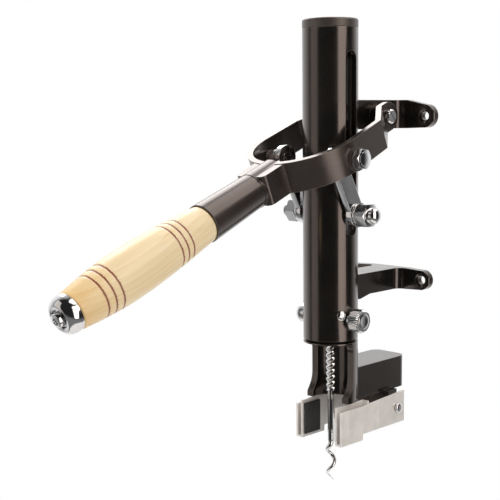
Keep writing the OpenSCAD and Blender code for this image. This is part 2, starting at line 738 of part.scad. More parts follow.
// The knurled bolt on the right and the domed one on the left hold the guide nut
module guide_bolt_right() color(chrome) on_axis() {
    rod_x(guide_bolt_r, guide_bore_r + 1, barrel_r + 3, 0, guide_z);
    rod_x(knurled_r - 2, barrel_r + 0.3, barrel_r + 2.2, 0, guide_z);
    rod_x(knurled_r, barrel_r + 2, barrel_r + 2 + knurled_len, 0, guide_z);
}

module guide_bolt_left() color(chrome) on_axis() {
    rod_x(guide_bolt_r, -guide_bore_r - 1, -barrel_r - 3, 0, guide_z);
    rod_x(knurled_r - 1, -barrel_r - 0.3, -barrel_r - 5, 0, guide_z);
    translate([-barrel_r - 5, 0, guide_z]) rotate([0, -90, 0]) difference() {
        scale([1, 1, 0.8]) sphere(r = knurled_r - 1);
        translate([0, 0, -20]) cylinder(r = 20, h = 20);
    }
}

lock_screw_r = 2;
module lock_screw_at() rotate([0, 0, -28]) translate([barrel_r, 0, guide_z + 4])
    rotate([0, 90, 0]) children();

module lock_screw() color(chrome) on_axis() lock_screw_at() {
    translate([0, 0, -3.5]) cylinder(r = lock_screw_r, h = 4);
    translate([0, 0, 0.2]) cylinder(r = 3.4, h = 2);
}

// ---- Bottle rest and jaws ----

// Side view of what is cut from the neck: a bay that curves out to the lip below
module neck_cut() {
    fillet = 7;
    top = -barrel_below - 1;
    low = rest_z + mouth_h;
    sweep = 2 * atan(neck_run / mouth_rise);
    sweep_r = mouth_rise / sin(sweep);
    polygon(concat(
        [[-60, top], [neck_front - fillet, top]],
        arc(neck_front - fillet, top - fillet, fillet, 90, 0, 6),
        arc(neck_front - sweep_r, low + mouth_rise, sweep_r, 0, -sweep, 8),
        [[-mouth_front, rest_z - 1], [-60, rest_z - 1]]));
}

module bottle_rest() color(black_paint) on_axis() difference() {
    union() {
        // spigot in the barrel
        tube(bore_r - seat_gap, neck_bore_r, -barrel_below - 1, -barrel_below + 4);
        // half round neck behind the open front
        difference() {
            tube(barrel_r, neck_bore_r, rest_z, -barrel_below);
            translate([-50, 0, 0]) rotate([90, 0, 90]) linear_extrude(100) neck_cut();
        }
        // rear block with rounded rear corners
        translate([0, 0, rest_z]) linear_extrude(block_h) difference() {
            union() {
                translate([-block_half, 0]) square([2 * block_half, block_rear - block_corner_r]);
                translate([-block_half + block_corner_r, 0])
                    square([2 * (block_half - block_corner_r), block_rear]);
                for (s = [-1, 1]) translate([s * (block_half - block_corner_r), block_rear - block_corner_r])
                    circle(r = block_corner_r);
            }
            circle(r = neck_bore_r + 1);
        }
        // lug between the jaws
        translate([-lug_half, lug_front, rest_z - jaw_h]) cube([2 * lug_half, lug_rear - lug_front, jaw_h + 1]);
    }
    rod_x(jaw_screw_r + seat_gap, -30, 30, jaw_pivot_back, jaw_screw_z);
}

// A jaw: a long plate from the screw, folded round at the front into an open channel
module jaw(s) color(chrome) on_axis() mirror([s < 0 ? 1 : 0, 0, 0]) difference() {
    fold_back = jaw_fold_len - jaw_front;
    inner_back = fold_back + 7;
    union() {
        translate([jaw_in, 0, 0]) rotate([90, 0, 90]) linear_extrude(jaw_t)
            polygon([[fold_back - 1, jaw_low], [jaw_tail, jaw_low],
                [jaw_tail, jaw_top], [fold_back - 1, fold_top]]);
        translate([jaw_in, -jaw_front, fold_low]) cube([jaw_t, jaw_fold_len, fold_top - fold_low]);
        translate([inner_wall_in, -jaw_front, fold_low]) cube([jaw_t, jaw_fold_len, jaw_top - fold_low]);
        translate([inner_wall_in, fold_back - 1, jaw_low]) cube([jaw_t, inner_back - fold_back + 1, jaw_h]);
        translate([inner_wall_in, -jaw_front, fold_low]) cube([jaw_half - inner_wall_in, jaw_fold_len, jaw_t]);
        translate([inner_wall_in, inner_back - jaw_t, jaw_low]) cube([jaw_half - inner_wall_in, jaw_t, jaw_h]);
    }
    rod_x(jaw_screw_r + 0.8, 0, 40, jaw_pivot_back, jaw_screw_z);
}

module jaw_right() jaw(1);
module jaw_left() jaw(-1);

module jaw_pad(s) color(rubber) on_axis() mirror([s < 0 ? 1 : 0, 0, 0])
    translate([pad_in, -jaw_front + 1.5, fold_low + 2.5])
        cube([pad_t, jaw_fold_len - 8, jaw_top - fold_low - 5]);

module jaw_pad_right() jaw_pad(1);
module jaw_pad_left() jaw_pad(-1);

module jaw_screws() color(chrome) on_axis() for (s = [-1, 1]) {
    rod_x(jaw_screw_r, s * 6, s * (jaw_half + 1), jaw_pivot_back, jaw_screw_z);
    rod_x(jaw_screw_head_r, s * (jaw_half + 0.5), s * (jaw_half + 3), jaw_pivot_back, jaw_screw_z);
}

barrel();
top_cap();
upper_bracket();
lower_bracket();
bracket_screws();
hinge_pin();
lever_ring();
handle_socket();
wood_grip();
tie_rod();
end_cap();
tie_rod_nut();
tie_rod_washer();
pivot_bolt_right();
pivot_bolt_left();
pivot_washers();
pivot_spacers();
link_right();
link_left();
link_stud_right();
link_stud_left();
carriage();
trunnions();
link_washers();
cap_nuts();
spindle();
spindle_nut();
thrust_washer();
worm();
guide_nut();
guide_bolt_right();
guide_bolt_left();
lock_screw();
bottle_rest();
jaw_right();
jaw_left();
jaw_pad_right();
jaw_pad_left();
jaw_screws();
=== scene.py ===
import functools
import math
import bpy
import bmesh
from mathutils import Matrix, Vector


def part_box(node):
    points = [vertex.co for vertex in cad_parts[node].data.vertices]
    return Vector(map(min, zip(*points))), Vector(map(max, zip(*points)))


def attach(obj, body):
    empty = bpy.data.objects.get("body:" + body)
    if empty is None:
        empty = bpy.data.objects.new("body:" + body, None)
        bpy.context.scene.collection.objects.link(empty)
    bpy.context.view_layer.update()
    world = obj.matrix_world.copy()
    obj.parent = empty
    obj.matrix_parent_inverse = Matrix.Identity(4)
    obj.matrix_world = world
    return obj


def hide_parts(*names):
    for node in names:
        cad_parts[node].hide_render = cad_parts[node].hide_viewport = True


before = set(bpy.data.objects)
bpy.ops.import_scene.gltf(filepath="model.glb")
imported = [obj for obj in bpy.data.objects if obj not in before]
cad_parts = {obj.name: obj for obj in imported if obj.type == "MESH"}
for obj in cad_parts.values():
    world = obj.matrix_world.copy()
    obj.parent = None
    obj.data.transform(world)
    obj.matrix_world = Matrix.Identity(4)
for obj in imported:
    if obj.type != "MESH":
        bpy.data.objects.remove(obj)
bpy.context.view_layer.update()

mm = 0.001
print("stage: frame loaded")


# ---------- places ----------

def shift(x=0.0, y=0.0, z=0.0):
    return Matrix.Translation((x, y, z))


def spin(degrees, axis):
    return Matrix.Rotation(math.radians(degrees), 4, axis)


# Where things are: the barrel's axis, the lever's hinge and the links' lower pins
place = {"axisY": -73 * mm, "hingeY": -33 * mm, "leverTilt": 22.0, "pinZ": -68.694 * mm}
barrelAxis = shift(y=place["axisY"])
leverFrame = shift(y=place["hingeY"]) @ spin(place["leverTilt"], "X")
handleFrame = leverFrame @ spin(90, "X")  # +Z runs out along the handle
pinFrame = barrelAxis @ shift(z=place["pinZ"])


def alongX(side, x, y=0.0, z=0.0):
    # +Z of the fastener turned to run outwards along X on one side
    return shift(side * x, y, z) @ spin(90 * side, "Y")


# ---------- meshes ----------

# merging of double points, and angles in degrees for sharp edges
meshSize = {"mergeGap": 1e-7, "pole": 1e-7, "sharpAngle": 35.0}
# copies of CAD solids: points to merge, angle of faces taken as flat, edges to round, smooth shading
copySize = {"mergeGap": 2e-6, "flatAngle": 1.2, "edgeAngle": 28.0, "sharpAngle": 32.0, "faceWeight": 100}


def shadeByAngle(mesh, degrees):
    mesh.polygons.foreach_set("use_smooth", [True] * len(mesh.polygons))
    mesh.set_sharp_from_angle(angle=math.radians(degrees))
    mesh.update()


def linkMesh(name, bm):
    mesh = bpy.data.meshes.new(name)
    bm.to_mesh(mesh)
    bm.free()
    piece = bpy.data.objects.new(name, mesh)
    bpy.context.collection.objects.link(piece)
    return piece


def meshPiece(name, bm, sharpAngle=meshSize["sharpAngle"]):
    bmesh.ops.recalc_face_normals(bm, faces=bm.faces)
    piece = linkMesh(name, bm)
    shadeByAngle(piece.data, sharpAngle)
    return piece


def joinMeshes(name, parts):
    bm = bmesh.new()
    for part in parts:
        bm.from_mesh(part.data)
        bpy.data.objects.remove(part)
    return linkMesh(name, bm)


def bakedMesh(piece):
    graph = bpy.context.evaluated_depsgraph_get()
    return bpy.data.meshes.new_from_object(piece.evaluated_get(graph), depsgraph=graph)


def bakeModifiers(piece):
    # turns the piece with its modifiers into a plain mesh
    baked = bakedMesh(piece)
    piece.modifiers.clear()
    piece.data = baked


def turnedPiece(name, profile, segments, matrix, sharpAngle=meshSize["sharpAngle"]):
    # closed turned solid; the profile is a list of (radius, height) from one end to the other
    bm = bmesh.new()
    angles = [2 * math.pi * k / segments for k in range(segments)]
    rings = []
    for radius, height in profile:
        if radius < meshSize["pole"]:
            rings.append([bm.verts.new((0, 0, height))])
        else:
            rings.append([bm.verts.new((radius * math.cos(a), radius * math.sin(a), height)) for a in angles])
    for low, high in zip(rings, rings[1:]):
        for k in range(segments):
            n = (k + 1) % segments
            if len(low) == 1:
                bm.faces.new((low[0], high[n], high[k]))
            elif len(high) == 1:
                bm.faces.new((low[k], low[n], high[0]))
            else:
                bm.faces.new((low[k], low[n], high[n], high[k]))
    bmesh.ops.transform(bm, matrix=matrix, verts=bm.verts)
    return meshPiece(name, bm, sharpAngle)


def inMillimetres(rows):
    return [(radius * mm, height * mm) for radius, height in rows]


def domeRows(radius, base, rise, step, first):
    # a dome's outline from near its rim to its crown, one row every few degrees
    angles = [math.radians(a) for a in range(first, 90, step)]
    return [(radius * math.cos(a), base + rise * math.sin(a)) for a in angles] + [(0, base + rise)]


def roundedCopy(nodeName, pieceName, edgeWidth, segments):
    # a copy of a CAD solid with its loose triangles merged and its edges rounded
    bm = bmesh.new()
    bm.from_mesh(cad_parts[nodeName].data)
    bmesh.ops.remove_doubles(bm, verts=bm.verts, dist=copySize["mergeGap"])
    bmesh.ops.dissolve_limit(bm, angle_limit=math.radians(copySize["flatAngle"]),
                             verts=bm.verts, edges=bm.edges)
    piece = meshPiece(pieceName, bm)
    bevel = piece.modifiers.new("roundEdges", "BEVEL")
    bevel.width = edgeWidth
    bevel.segments = segments
    bevel.limit_method = "ANGLE"
    bevel.angle_limit = math.radians(copySize["edgeAngle"])
    bevel.use_clamp_overlap = True
    bevel.harden_normals = False
    bakeModifiers(piece)
    shadeByAngle(piece.data, copySize["sharpAngle"])
    # wide faces keep their own normals, so that only the rounded edges shade as round
    weighted = piece.modifiers.new("flatFaces", "WEIGHTED_NORMAL")
    weighted.keep_sharp = True
    weighted.weight = copySize["faceWeight"]
    bakeModifiers(piece)
    return piece


def finishPiece(piece, body, finish, slotName, *nodes):
    # gives the piece its material, lets it ride on its body and stand for CAD nodes
    piece.data.materials.clear()
    piece.data.materials.append(finishes[finish])
    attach(piece, body)
    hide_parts(*nodes)


# ---------- node trees ----------

def feed(tree, socket, value):
    # links the socket to another node's output, or sets its value
    if isinstance(value, bpy.types.NodeSocket):
        tree.links.new(value, socket)
    else:
        socket.default_value = value


def addNode(tree, kind, x, y, inputs=None, **settings):
    node = tree.nodes.new(kind)
    node.location = (x, y)
    for key, value in settings.items():
        setattr(node, key, value)
    for key, value in (inputs or {}).items():
        feed(tree, node.inputs[key], value)
    return node


def calc(tree, operation, *values, clamp=False):
    # one Math node; the values are numbers or sockets
    inputs = dict(enumerate(values))
    return addNode(tree, "ShaderNodeMath", 0, 0, inputs, operation=operation, use_clamp=clamp).outputs[0]


def splitVector(tree, vector, x, y):
    return addNode(tree, "ShaderNodeSeparateXYZ", x, y, {0: vector}).outputs[:3]


def joinVector(tree, values, x, y):
    return addNode(tree, "ShaderNodeCombineXYZ", x, y, dict(enumerate(values))).outputs[0]


def addNoise(tree, x, y, **inputs):
    return addNode(tree, "ShaderNodeTexNoise", x, y, inputs).outputs["Fac"]


def mapRange(tree, value, low, high, x, y, target=None, **settings):
    inputs = {"Value": value, "From Min": low, "From Max": high, **(target or {})}
    return addNode(tree, "ShaderNodeMapRange", x, y, inputs, **settings).outputs["Result"]


def mixColours(tree, factor, first, second, x, y, blend="MIX"):
    inputs = {0: factor, 6: first, 7: second}
    return addNode(tree, "ShaderNodeMix", x, y, inputs, data_type="RGBA", blend_type=blend).outputs[2]


def newTree(name, kind, inputs, outputs):
    # inputs and outputs give each socket's default number, or its kind where it has none
    numberKinds = {float: "NodeSocketFloat", int: "NodeSocketInt"}
    tree = bpy.data.node_groups.new(name, kind)
    for direction, sockets in (("OUTPUT", outputs), ("INPUT", inputs)):
        for socketName, value in sockets.items():
            plain = type(value) in numberKinds
            item = tree.interface.new_socket(name=socketName, in_out=direction,
                                             socket_type=numberKinds[type(value)] if plain else value)
            if plain:
                item.default_value = value
    start = addNode(tree, "NodeGroupInput", -1600, 0)
    end = addNode(tree, "NodeGroupOutput", 1200, 0)
    return tree, start.outputs, end.inputs


# ---------- shader groups ----------

def makeHandledGroup():
    # soft cloudy marks left by handling, as a mask and as a small height
    look = {"cloudDetail": 4, "speckDetail": 3, "low": 0.35, "high": 0.7, "cloudHeight": 0.6}
    tree, given, end = newTree("handledSurface", "ShaderNodeTree",
                               {"Vector": "NodeSocketVector", "Cloud scale": 30.0, "Speck scale": 900.0},
                               {"Clouds": "NodeSocketFloat", "Height": "NodeSocketFloat"})
    clouds = addNoise(tree, -600, 200, Vector=given["Vector"], Scale=given["Cloud scale"],
                      Detail=look["cloudDetail"])
    specks = addNoise(tree, -600, -200, Vector=given["Vector"], Scale=given["Speck scale"],
                      Detail=look["speckDetail"])
    feed(tree, end["Clouds"], mapRange(tree, clouds, look["low"], look["high"], -300, 200))
    feed(tree, end["Height"], calc(tree, "MULTIPLY_ADD", clouds, look["cloudHeight"], specks))
    return tree


def makeScratchGroup():
    # fine drawn lines that run along one axis of the given coordinates
    look = {"detail": 5, "roughness": 0.65, "low": 0.4, "high": 0.68}
    tree, given, end = newTree("drawnLines", "ShaderNodeTree",
                               {"Vector": "NodeSocketVector", "Density": 900.0, "Stretch": 0.03},
                               {"Lines": "NodeSocketFloat", "Height": "NodeSocketFloat"})
    x, y, z = splitVector(tree, given["Vector"], -800, 0)
    drawn = joinVector(tree, (x, y, calc(tree, "MULTIPLY", z, given["Stretch"])), -500, 0)
    lines = addNoise(tree, -300, 0, Vector=drawn, Scale=given["Density"], Detail=look["detail"],
                     Roughness=look["roughness"])
    feed(tree, end["Lines"], mapRange(tree, lines, look["low"], look["high"], 100, 0))
    feed(tree, end["Height"], lines)
    return tree


def makeEdgeGroup():
    # a mask of the outer edges, where enamel and plating wear thin; on the enamel it also places a painted
    # edge highlight
    look = {"samples": 4, "gain": 9.0}
    tree, given, end = newTree("wornAndHighlightedEdges", "ShaderNodeTree",
                               {"Vector": "NodeSocketVector", "Radius": 0.0012, "Breakup": 120.0},
                               {"Edge": "NodeSocketFloat"})
    soft = addNode(tree, "ShaderNodeBevel", -700, 200, {"Radius": given["Radius"]}, samples=look["samples"])
    geometry = addNode(tree, "ShaderNodeNewGeometry", -700, 0)
    dot = addNode(tree, "ShaderNodeVectorMath", -450, 100,
                  {0: soft.outputs[0], 1: geometry.outputs["Normal"]}, operation="DOT_PRODUCT")
    away = calc(tree, "SUBTRACT", 1.0, dot.outputs["Value"])
    broken = calc(tree, "MULTIPLY", away,
                  addNoise(tree, -450, -200, Vector=given["Vector"], Scale=given["Breakup"]))
    feed(tree, end["Edge"], calc(tree, "MULTIPLY", broken, look["gain"], clamp=True))
    return tree


handledGroup = makeHandledGroup()
scratchGroup = makeScratchGroup()
edgeGroup = makeEdgeGroup()


# ---------- materials ----------

def startMaterial(name):
    material = bpy.data.materials.new(name)
    material.use_nodes = True
    tree = material.node_tree
    coords = addNode(tree, "ShaderNodeTexCoord", -1400, 0)
    return material, tree, tree.nodes["Principled BSDF"].inputs, coords.outputs["Object"]


def placeGroup(tree, group, vector, y=0, **inputs):
    named = {key.replace("_", " "): value for key, value in inputs.items()}
    return addNode(tree, "ShaderNodeGroup", -600, y, {"Vector": vector, **named}, node_tree=group).outputs


def mapped(tree, vector, **inputs):
    return addNode(tree, "ShaderNodeMapping", -1150, 0, {"Vector": vector, **inputs}).outputs[0]


def colourRamp(tree, value, stops):
    ramp = addNode(tree, "ShaderNodeValToRGB", -300, 200, {0: value})
    elements = ramp.color_ramp.elements
    while len(elements) < len(stops):
        elements.new(0.5)
    for element, (position, colour) in zip(elements, stops):
        element.position = position
        element.color = (*colour, 1)
    return ramp.outputs[0]


def setShader(tree, shader, **inputs):
    for key, value in inputs.items():
        feed(tree, shader[key.replace("_", " ")], value)


def addBump(tree, shader, height, strength, distance):
    inputs = {"Strength": strength, "Distance": distance, "Height": height}
    feed(tree, shader["Normal"], addNode(tree, "ShaderNodeBump", -150, -300, inputs).outputs[0])


# the lighter brown edge colour stands for worn enamel and also for a painted edge highlight
enamelLook = {
    "cloudScale": 38.0, "speckScale": 1400.0, "edgeWearAndHighlightRadius": 0.0011, "edgeWearAndHighlightBreakup": 160.0,
    "cloudTone": 1.35, "edgeWearAndHighlightColour": (0.16, 0.135, 0.115, 1), "cloudRough": 0.08, "coat": 0.4,
    "specular": 1.0, "specularTint": (1.0, 0.81, 0.74, 1), "bumpDistance": 0.00006,
}


def makeEnamel(name, tint, rough, sheenRough, edgeWearAndHighlight=0.5, bump=0.12):
    # black stoved enamel, slightly brown at the edges: partly where it wears thin, partly a painted edge
    # highlight
    look = enamelLook
    material, tree, shader, vector = startMaterial(name)
    handled = placeGroup(tree, handledGroup, vector,
                         Cloud_scale=look["cloudScale"], Speck_scale=look["speckScale"])
    edge = placeGroup(tree, edgeGroup, vector, -300, Radius=look["edgeWearAndHighlightRadius"], Breakup=look["edgeWearAndHighlightBreakup"])
    clouded = tuple(c * look["cloudTone"] for c in tint)
    base = colourRamp(tree, handled["Clouds"], [(0.0, tint), (1.0, clouded)])
    # lighter brown edges: partly wear, partly a painted highlight on the edges
    edgeWearAndHighlightMask = calc(tree, "MULTIPLY", edge["Edge"], edgeWearAndHighlight)
    setShader(tree, shader, Base_Color=mixColours(tree, edgeWearAndHighlightMask, base, look["edgeWearAndHighlightColour"], -50, 200),
              Roughness=calc(tree, "MULTIPLY_ADD", handled["Clouds"], look["cloudRough"], rough),
              Coat_Weight=look["coat"], Coat_Roughness=sheenRough,
              Specular_IOR_Level=look["specular"], Specular_Tint=look["specularTint"])
    addBump(tree, shader, handled["Height"], bump, look["bumpDistance"])
    return material


chromeLook = {
    "stretch": 0.05, "cloudScale": 90.0, "speckScale": 1500.0, "cloudTone": 0.86, "lineRough": 0.9,
    "cloudRough": 0.04, "bumpDistance": 0.00004,
}


def makeChrome(name, colour, rough, lineScale=700.0, bump=0.05, metal=1.0):
    # bare or plated metal with fine drawn lines
    look = chromeLook
    material, tree, shader, vector = startMaterial(name)
    lines = placeGroup(tree, scratchGroup, vector, Density=lineScale, Stretch=look["stretch"])
    handled = placeGroup(tree, handledGroup, vector, -300,
                         Cloud_scale=look["cloudScale"], Speck_scale=look["speckScale"])
    clouded = tuple(c * look["cloudTone"] for c in colour)
    lineRough = calc(tree, "MULTIPLY_ADD", lines["Lines"], rough * look["lineRough"], rough)
    setShader(tree, shader, Base_Color=colourRamp(tree, handled["Clouds"], [(0.0, colour), (1.0, clouded)]),
              Roughness=calc(tree, "MULTIPLY_ADD", handled["Clouds"], look["cloudRough"], lineRough),
              Metallic=metal)
    addBump(tree, shader, lines["Height"], bump, look["bumpDistance"])
    return material


rubberLook = {
    "cloudScale": 60.0, "speckScale": 2200.0, "dark": (0.018, 0.018, 0.018), "pale": (0.05, 0.048, 0.045),
    "cloudRough": 0.15, "rough": 0.62, "bump": 0.4, "bumpDistance": 0.00015,
}


def makeRubber(name):
    look = rubberLook
    material, tree, shader, vector = startMaterial(name)
    handled = placeGroup(tree, handledGroup, vector,
                         Cloud_scale=look["cloudScale"], Speck_scale=look["speckScale"])
    setShader(tree, shader,
              Base_Color=colourRamp(tree, handled["Clouds"], [(0.0, look["dark"]), (1.0, look["pale"])]),
              Roughness=calc(tree, "MULTIPLY_ADD", handled["Clouds"], look["cloudRough"], look["rough"]))
    addBump(tree, shader, handled["Height"], look["bump"], look["bumpDistance"])
    return material


# The grip's wood, in distances along the handle from the hinge
gripSize = {
    "start": 179 * mm, "length": 113 * mm, "startRadius": 12.6 * mm, "peakRadius": 16.4 * mm,
    "endRadius": 12.4 * mm, "peakAt": 0.60, "grooveDepth": 0.45 * mm, "grooveWidth": 1.35 * mm,
    "grooves": [202.0 * mm, 207.2 * mm, 212.4 * mm, 263.6 * mm, 269.4 * mm, 275.2 * mm],
    "grooveBlend": (0.8, 0.3), "easeLength": 0.9 * mm, "easeDepth": 0.7 * mm, "rows": 420, "sides": 96,
    "sharpAngle": 50.0,
}
woodLook = {
    "heartOffset": 0.011, "grainStretch": 0.022,
    "rings": {"Scale": 150.0, "Distortion": 1.2, "Detail": 3.0, "Detail Scale": 1.4},
    "fibreScale": 900.0, "fibreDetail": 6.0, "broadScale": 120.0,
    "ringTone": 0.22, "broadTone": 0.55, "fibreTone": 0.55,
    "tones": [(0.25, (0.90, 0.77, 0.53)), (0.55, (0.87, 0.72, 0.46)),
              (0.80, (0.82, 0.64, 0.37)), (0.98, (0.74, 0.53, 0.27))],
    "amberFrom": 0.72, "amberWeight": 0.75, "amber": (0.90, 0.72, 0.45, 1),
    "ragged": 0.0009, "burnWidth": 0.62, "burnGain": 2.2, "patches": (0.6, 0.65),
    "charred": (0.22, 0.032, 0.018, 1), "fibreRough": 0.18, "rough": 0.34, "coat": 0.35, "coatRough": 0.22,
    "burnDepth": -0.6, "bump": 0.25, "bumpDistance": 0.00012,
}


def makeAsh(name):
    # lacquered pale ash: long grain, fine pores, burnt rings in the turned grooves
    look = woodLook
    material, tree, shader, vector = startMaterial(name)
    op = functools.partial(calc, tree)
    moved = mapped(tree, vector, Location=(0, -place["hingeY"], 0))
    along = mapped(tree, moved, Rotation=(math.radians(-90 - place["leverTilt"]), 0, 0))
    x, y, distance = splitVector(tree, along, -1000, -400)
    stretched = op("MULTIPLY", distance, look["grainStretch"])
    grain = joinVector(tree, (x, op("ADD", y, look["heartOffset"]), stretched), -900, 100)
    rings = addNode(tree, "ShaderNodeTexWave", -700, 300, {"Vector": grain, **look["rings"]},
                    wave_type="RINGS", rings_direction="Z", wave_profile="SAW").outputs["Fac"]
    fibres = addNoise(tree, -700, 0, Vector=grain, Scale=look["fibreScale"], Detail=look["fibreDetail"])
    broad = addNoise(tree, -700, -200, Vector=grain, Scale=look["broadScale"])
    tone = op("MULTIPLY_ADD", rings, look["ringTone"], op("MULTIPLY", broad, look["broadTone"]))
    tone = op("MULTIPLY_ADD", fibres, look["fibreTone"], tone)
    # the end near the cap is a little more amber
    amberStart = gripSize["start"] + gripSize["length"] * look["amberFrom"]
    outwards = mapRange(tree, distance, amberStart, gripSize["start"] + gripSize["length"], -200, -100)
    colour = mixColours(tree, op("MULTIPLY", outwards, look["amberWeight"]),
                        colourRamp(tree, tone, look["tones"]), look["amber"], 0, 300, "MULTIPLY")
    # burnt rings: a dark red brown, ragged along the grain
    burn = None
    ragged = op("MULTIPLY_ADD", fibres, look["ragged"], -look["ragged"] / 2)
    halfWidth = gripSize["grooveWidth"] * look["burnWidth"]
    for ring in gripSize["grooves"]:
        off = op("ABSOLUTE", op("ADD", op("SUBTRACT", distance, ring), ragged))
        inside = op("SUBTRACT", 1.0, op("DIVIDE", off, halfWidth), clamp=True)
        burn = inside if burn is None else op("MAXIMUM", burn, inside)
    sharp = op("MULTIPLY", burn, look["burnGain"], clamp=True)
    patchy = op("MULTIPLY", sharp, op("MULTIPLY_ADD", broad, *look["patches"]), clamp=True)
    setShader(tree, shader, Base_Color=mixColours(tree, patchy, colour, look["charred"], 200, 300),
              Roughness=op("MULTIPLY_ADD", fibres, look["fibreRough"], look["rough"]),
              Coat_Weight=look["coat"], Coat_Roughness=look["coatRough"])
    height = op("MULTIPLY_ADD", burn, look["burnDepth"], fibres)
    addBump(tree, shader, height, look["bump"], look["bumpDistance"])
    return material


finishes = {
    "enamel": makeEnamel("blackEnamel", (0.0060, 0.0058, 0.0052), rough=0.17, sheenRough=0.12),
    "ringEnamel": makeEnamel("ringEnamel", (0.013, 0.0105, 0.0092), rough=0.25, sheenRough=0.20, edgeWearAndHighlight=0.7),
    "capEnamel": makeEnamel("capEnamel", (0.022, 0.020, 0.0185), rough=0.42, sheenRough=0.34,
                             edgeWearAndHighlight=0.8, bump=0.45),
    "chrome": makeChrome("polishedChrome", (0.80, 0.80, 0.81), rough=0.07),
    "jawSteel": makeChrome("jawNickel", (0.93, 0.90, 0.87), rough=0.30, lineScale=260.0, bump=0.0,
                           metal=0.4),
    "steel": makeChrome("turnedSteel", (0.56, 0.56, 0.57), rough=0.24, lineScale=900.0, bump=0.14),
    "darkSteel": makeChrome("darkWasher", (0.22, 0.21, 0.205), rough=0.30, lineScale=900.0, bump=0.14),
    "bronze": makeChrome("guideBronze", (0.62, 0.43, 0.20), rough=0.26, lineScale=800.0, bump=0.14),
    "rubber": makeRubber("padRubber"),
    "wood": makeAsh("lacqueredAsh"),
}
print("stage: materials made")


# ---------- geometry node trees ----------

def newGeometryTree(name, inputs):
    tree, given, end = newTree(name, "GeometryNodeTree", {**inputs, "Material": "NodeSocketMaterial"},
                               {"Geometry": "NodeSocketGeometry"})
    return tree, given, end, functools.partial(calc, tree)


def closeTree(tree, given, end, geometry):
    # every tree ends in Realize Instances and Set Material
    real = addNode(tree, "GeometryNodeRealizeInstances", 700, 0, {0: geometry})
    paint = addNode(tree, "GeometryNodeSetMaterial", 950, 0,
                    {"Geometry": real.outputs[0], "Material": given["Material"]})
    feed(tree, end[0], paint.outputs[0])
    return tree


def pointPlaces(tree):
    # X, Y and Z of each point
    return splitVector(tree, addNode(tree, "GeometryNodeInputPosition", -1300, -300).outputs[0], -1100, -300)


def lineAlongZ(tree, low, high, count):
    # a straight curve on the Z axis with evenly spaced points
    ends = {"Start": joinVector(tree, (0, 0, low), -1450, 300),
            "End": joinVector(tree, (0, 0, high), -1450, 200)}
    line = addNode(tree, "GeometryNodeCurvePrimitiveLine", -1300, 300, ends)
    return addNode(tree, "GeometryNodeResampleCurve", -1100, 300,
                   {"Curve": line.outputs[0], "Count": count}).outputs[0]


def unitCircle(tree, sides):
    return addNode(tree, "GeometryNodeCurvePrimitiveCircle", -500, -300,
                   {"Resolution": sides, "Radius": 1.0}).outputs[0]


def starCurve(tree, points, outer, inner):
    return addNode(tree, "GeometryNodeCurveStar", -1050, -400,
                   {"Points": points, "Inner Radius": inner, "Outer Radius": outer}).outputs["Curve"]


def sweep(tree, curve, section, **scale):
    # a bar with closed ends; Scale may change along it
    return addNode(tree, "GeometryNodeCurveToMesh", 100, 0,
                   {"Curve": curve, "Profile Curve": section, "Fill Caps": True, **scale}).outputs[0]


def setPosition(tree, geometry, values):
    return addNode(tree, "GeometryNodeSetPosition", 450, 0,
                   {"Geometry": geometry, "Position": joinVector(tree, values, 200, -200)}).outputs[0]


def growPiece(name, tree, finish, values, matrix, sharpAngle=meshSize["sharpAngle"]):
    # runs a geometry tree on an empty object and keeps the result as a plain mesh
    values = {**values, "Material": finishes[finish]}
    holder = bpy.data.objects.new(name + "Holder", bpy.data.meshes.new(name + "Seed"))
    bpy.context.collection.objects.link(holder)
    modifier = holder.modifiers.new("grow", "NODES")
    modifier.node_group = tree
    for item in tree.interface.items_tree:
        if item.in_out == "INPUT" and item.name in values:
            modifier[item.identifier] = values[item.name]
    mesh = bakedMesh(holder)
    bpy.data.objects.remove(holder)
    bm = bmesh.new()
    bm.from_mesh(mesh)
    bmesh.ops.remove_doubles(bm, verts=bm.verts, dist=meshSize["mergeGap"])
    bmesh.ops.transform(bm, matrix=matrix, verts=bm.verts)
    return meshPiece(name, bm, sharpAngle)


hexSize = {"sides": 96, "crownRadius": 0.86}


def makeHexTree():
    # a hexagon head or nut body along +Z, with the turned chamfer that rounds its corners off
    tree, given, end, op = newGeometryTree("hexHead", {
        "Corner radius": 0.008, "Height": 0.006, "Chamfer": 0.5})
    body = addNode(tree, "GeometryNodeMeshCylinder", -1300, 0, {
        "Vertices": hexSize["sides"], "Side Segments": 3, "Radius": 1.0, "Depth": 3.0},
        fill_type="TRIANGLE_FAN")
    x, y, z = pointPlaces(tree)
    corner = given["Corner radius"]
    sector = op("SUBTRACT", op("FLOORED_MODULO", op("ARCTAN2", y, x), math.pi / 3), math.pi / 6)
    flatRadius = op("DIVIDE", op("MULTIPLY", corner, math.cos(math.pi / 6)), op("COSINE", sector))
    endRadius = op("MINIMUM", flatRadius, op("MULTIPLY", corner, hexSize["crownRadius"]))
    drop = op("MULTIPLY", op("SUBTRACT", flatRadius, endRadius), given["Chamfer"])
    level = op("ROUND", op("ADD", z, 1.5))  # 0 at the seat, 3 at the crown
    isEnd = op("GREATER_THAN", op("ABSOLUTE", op("SUBTRACT", level, 1.5)), 1.0)
    isHigh = op("GREATER_THAN", level, 1.5)
    inward = op("MULTIPLY", drop, op("SUBTRACT", 1.0, isEnd))
    signed = op("MULTIPLY", inward, op("MULTIPLY_ADD", isHigh, -2.0, 1.0))
    newZ = op("ADD", op("MULTIPLY", isHigh, given["Height"]), signed)
    side = op("ADD", op("MULTIPLY", isEnd, endRadius), op("MULTIPLY", op("SUBTRACT", 1.0, isEnd), flatRadius))
    moved = setPosition(tree, body.outputs["Mesh"], (op("MULTIPLY", x, side), op("MULTIPLY", y, side), newZ))
    return closeTree(tree, given, end, moved)


twistSize = {"rows": 340, "filletRadius": 0.9 * mm, "filletRows": 4}


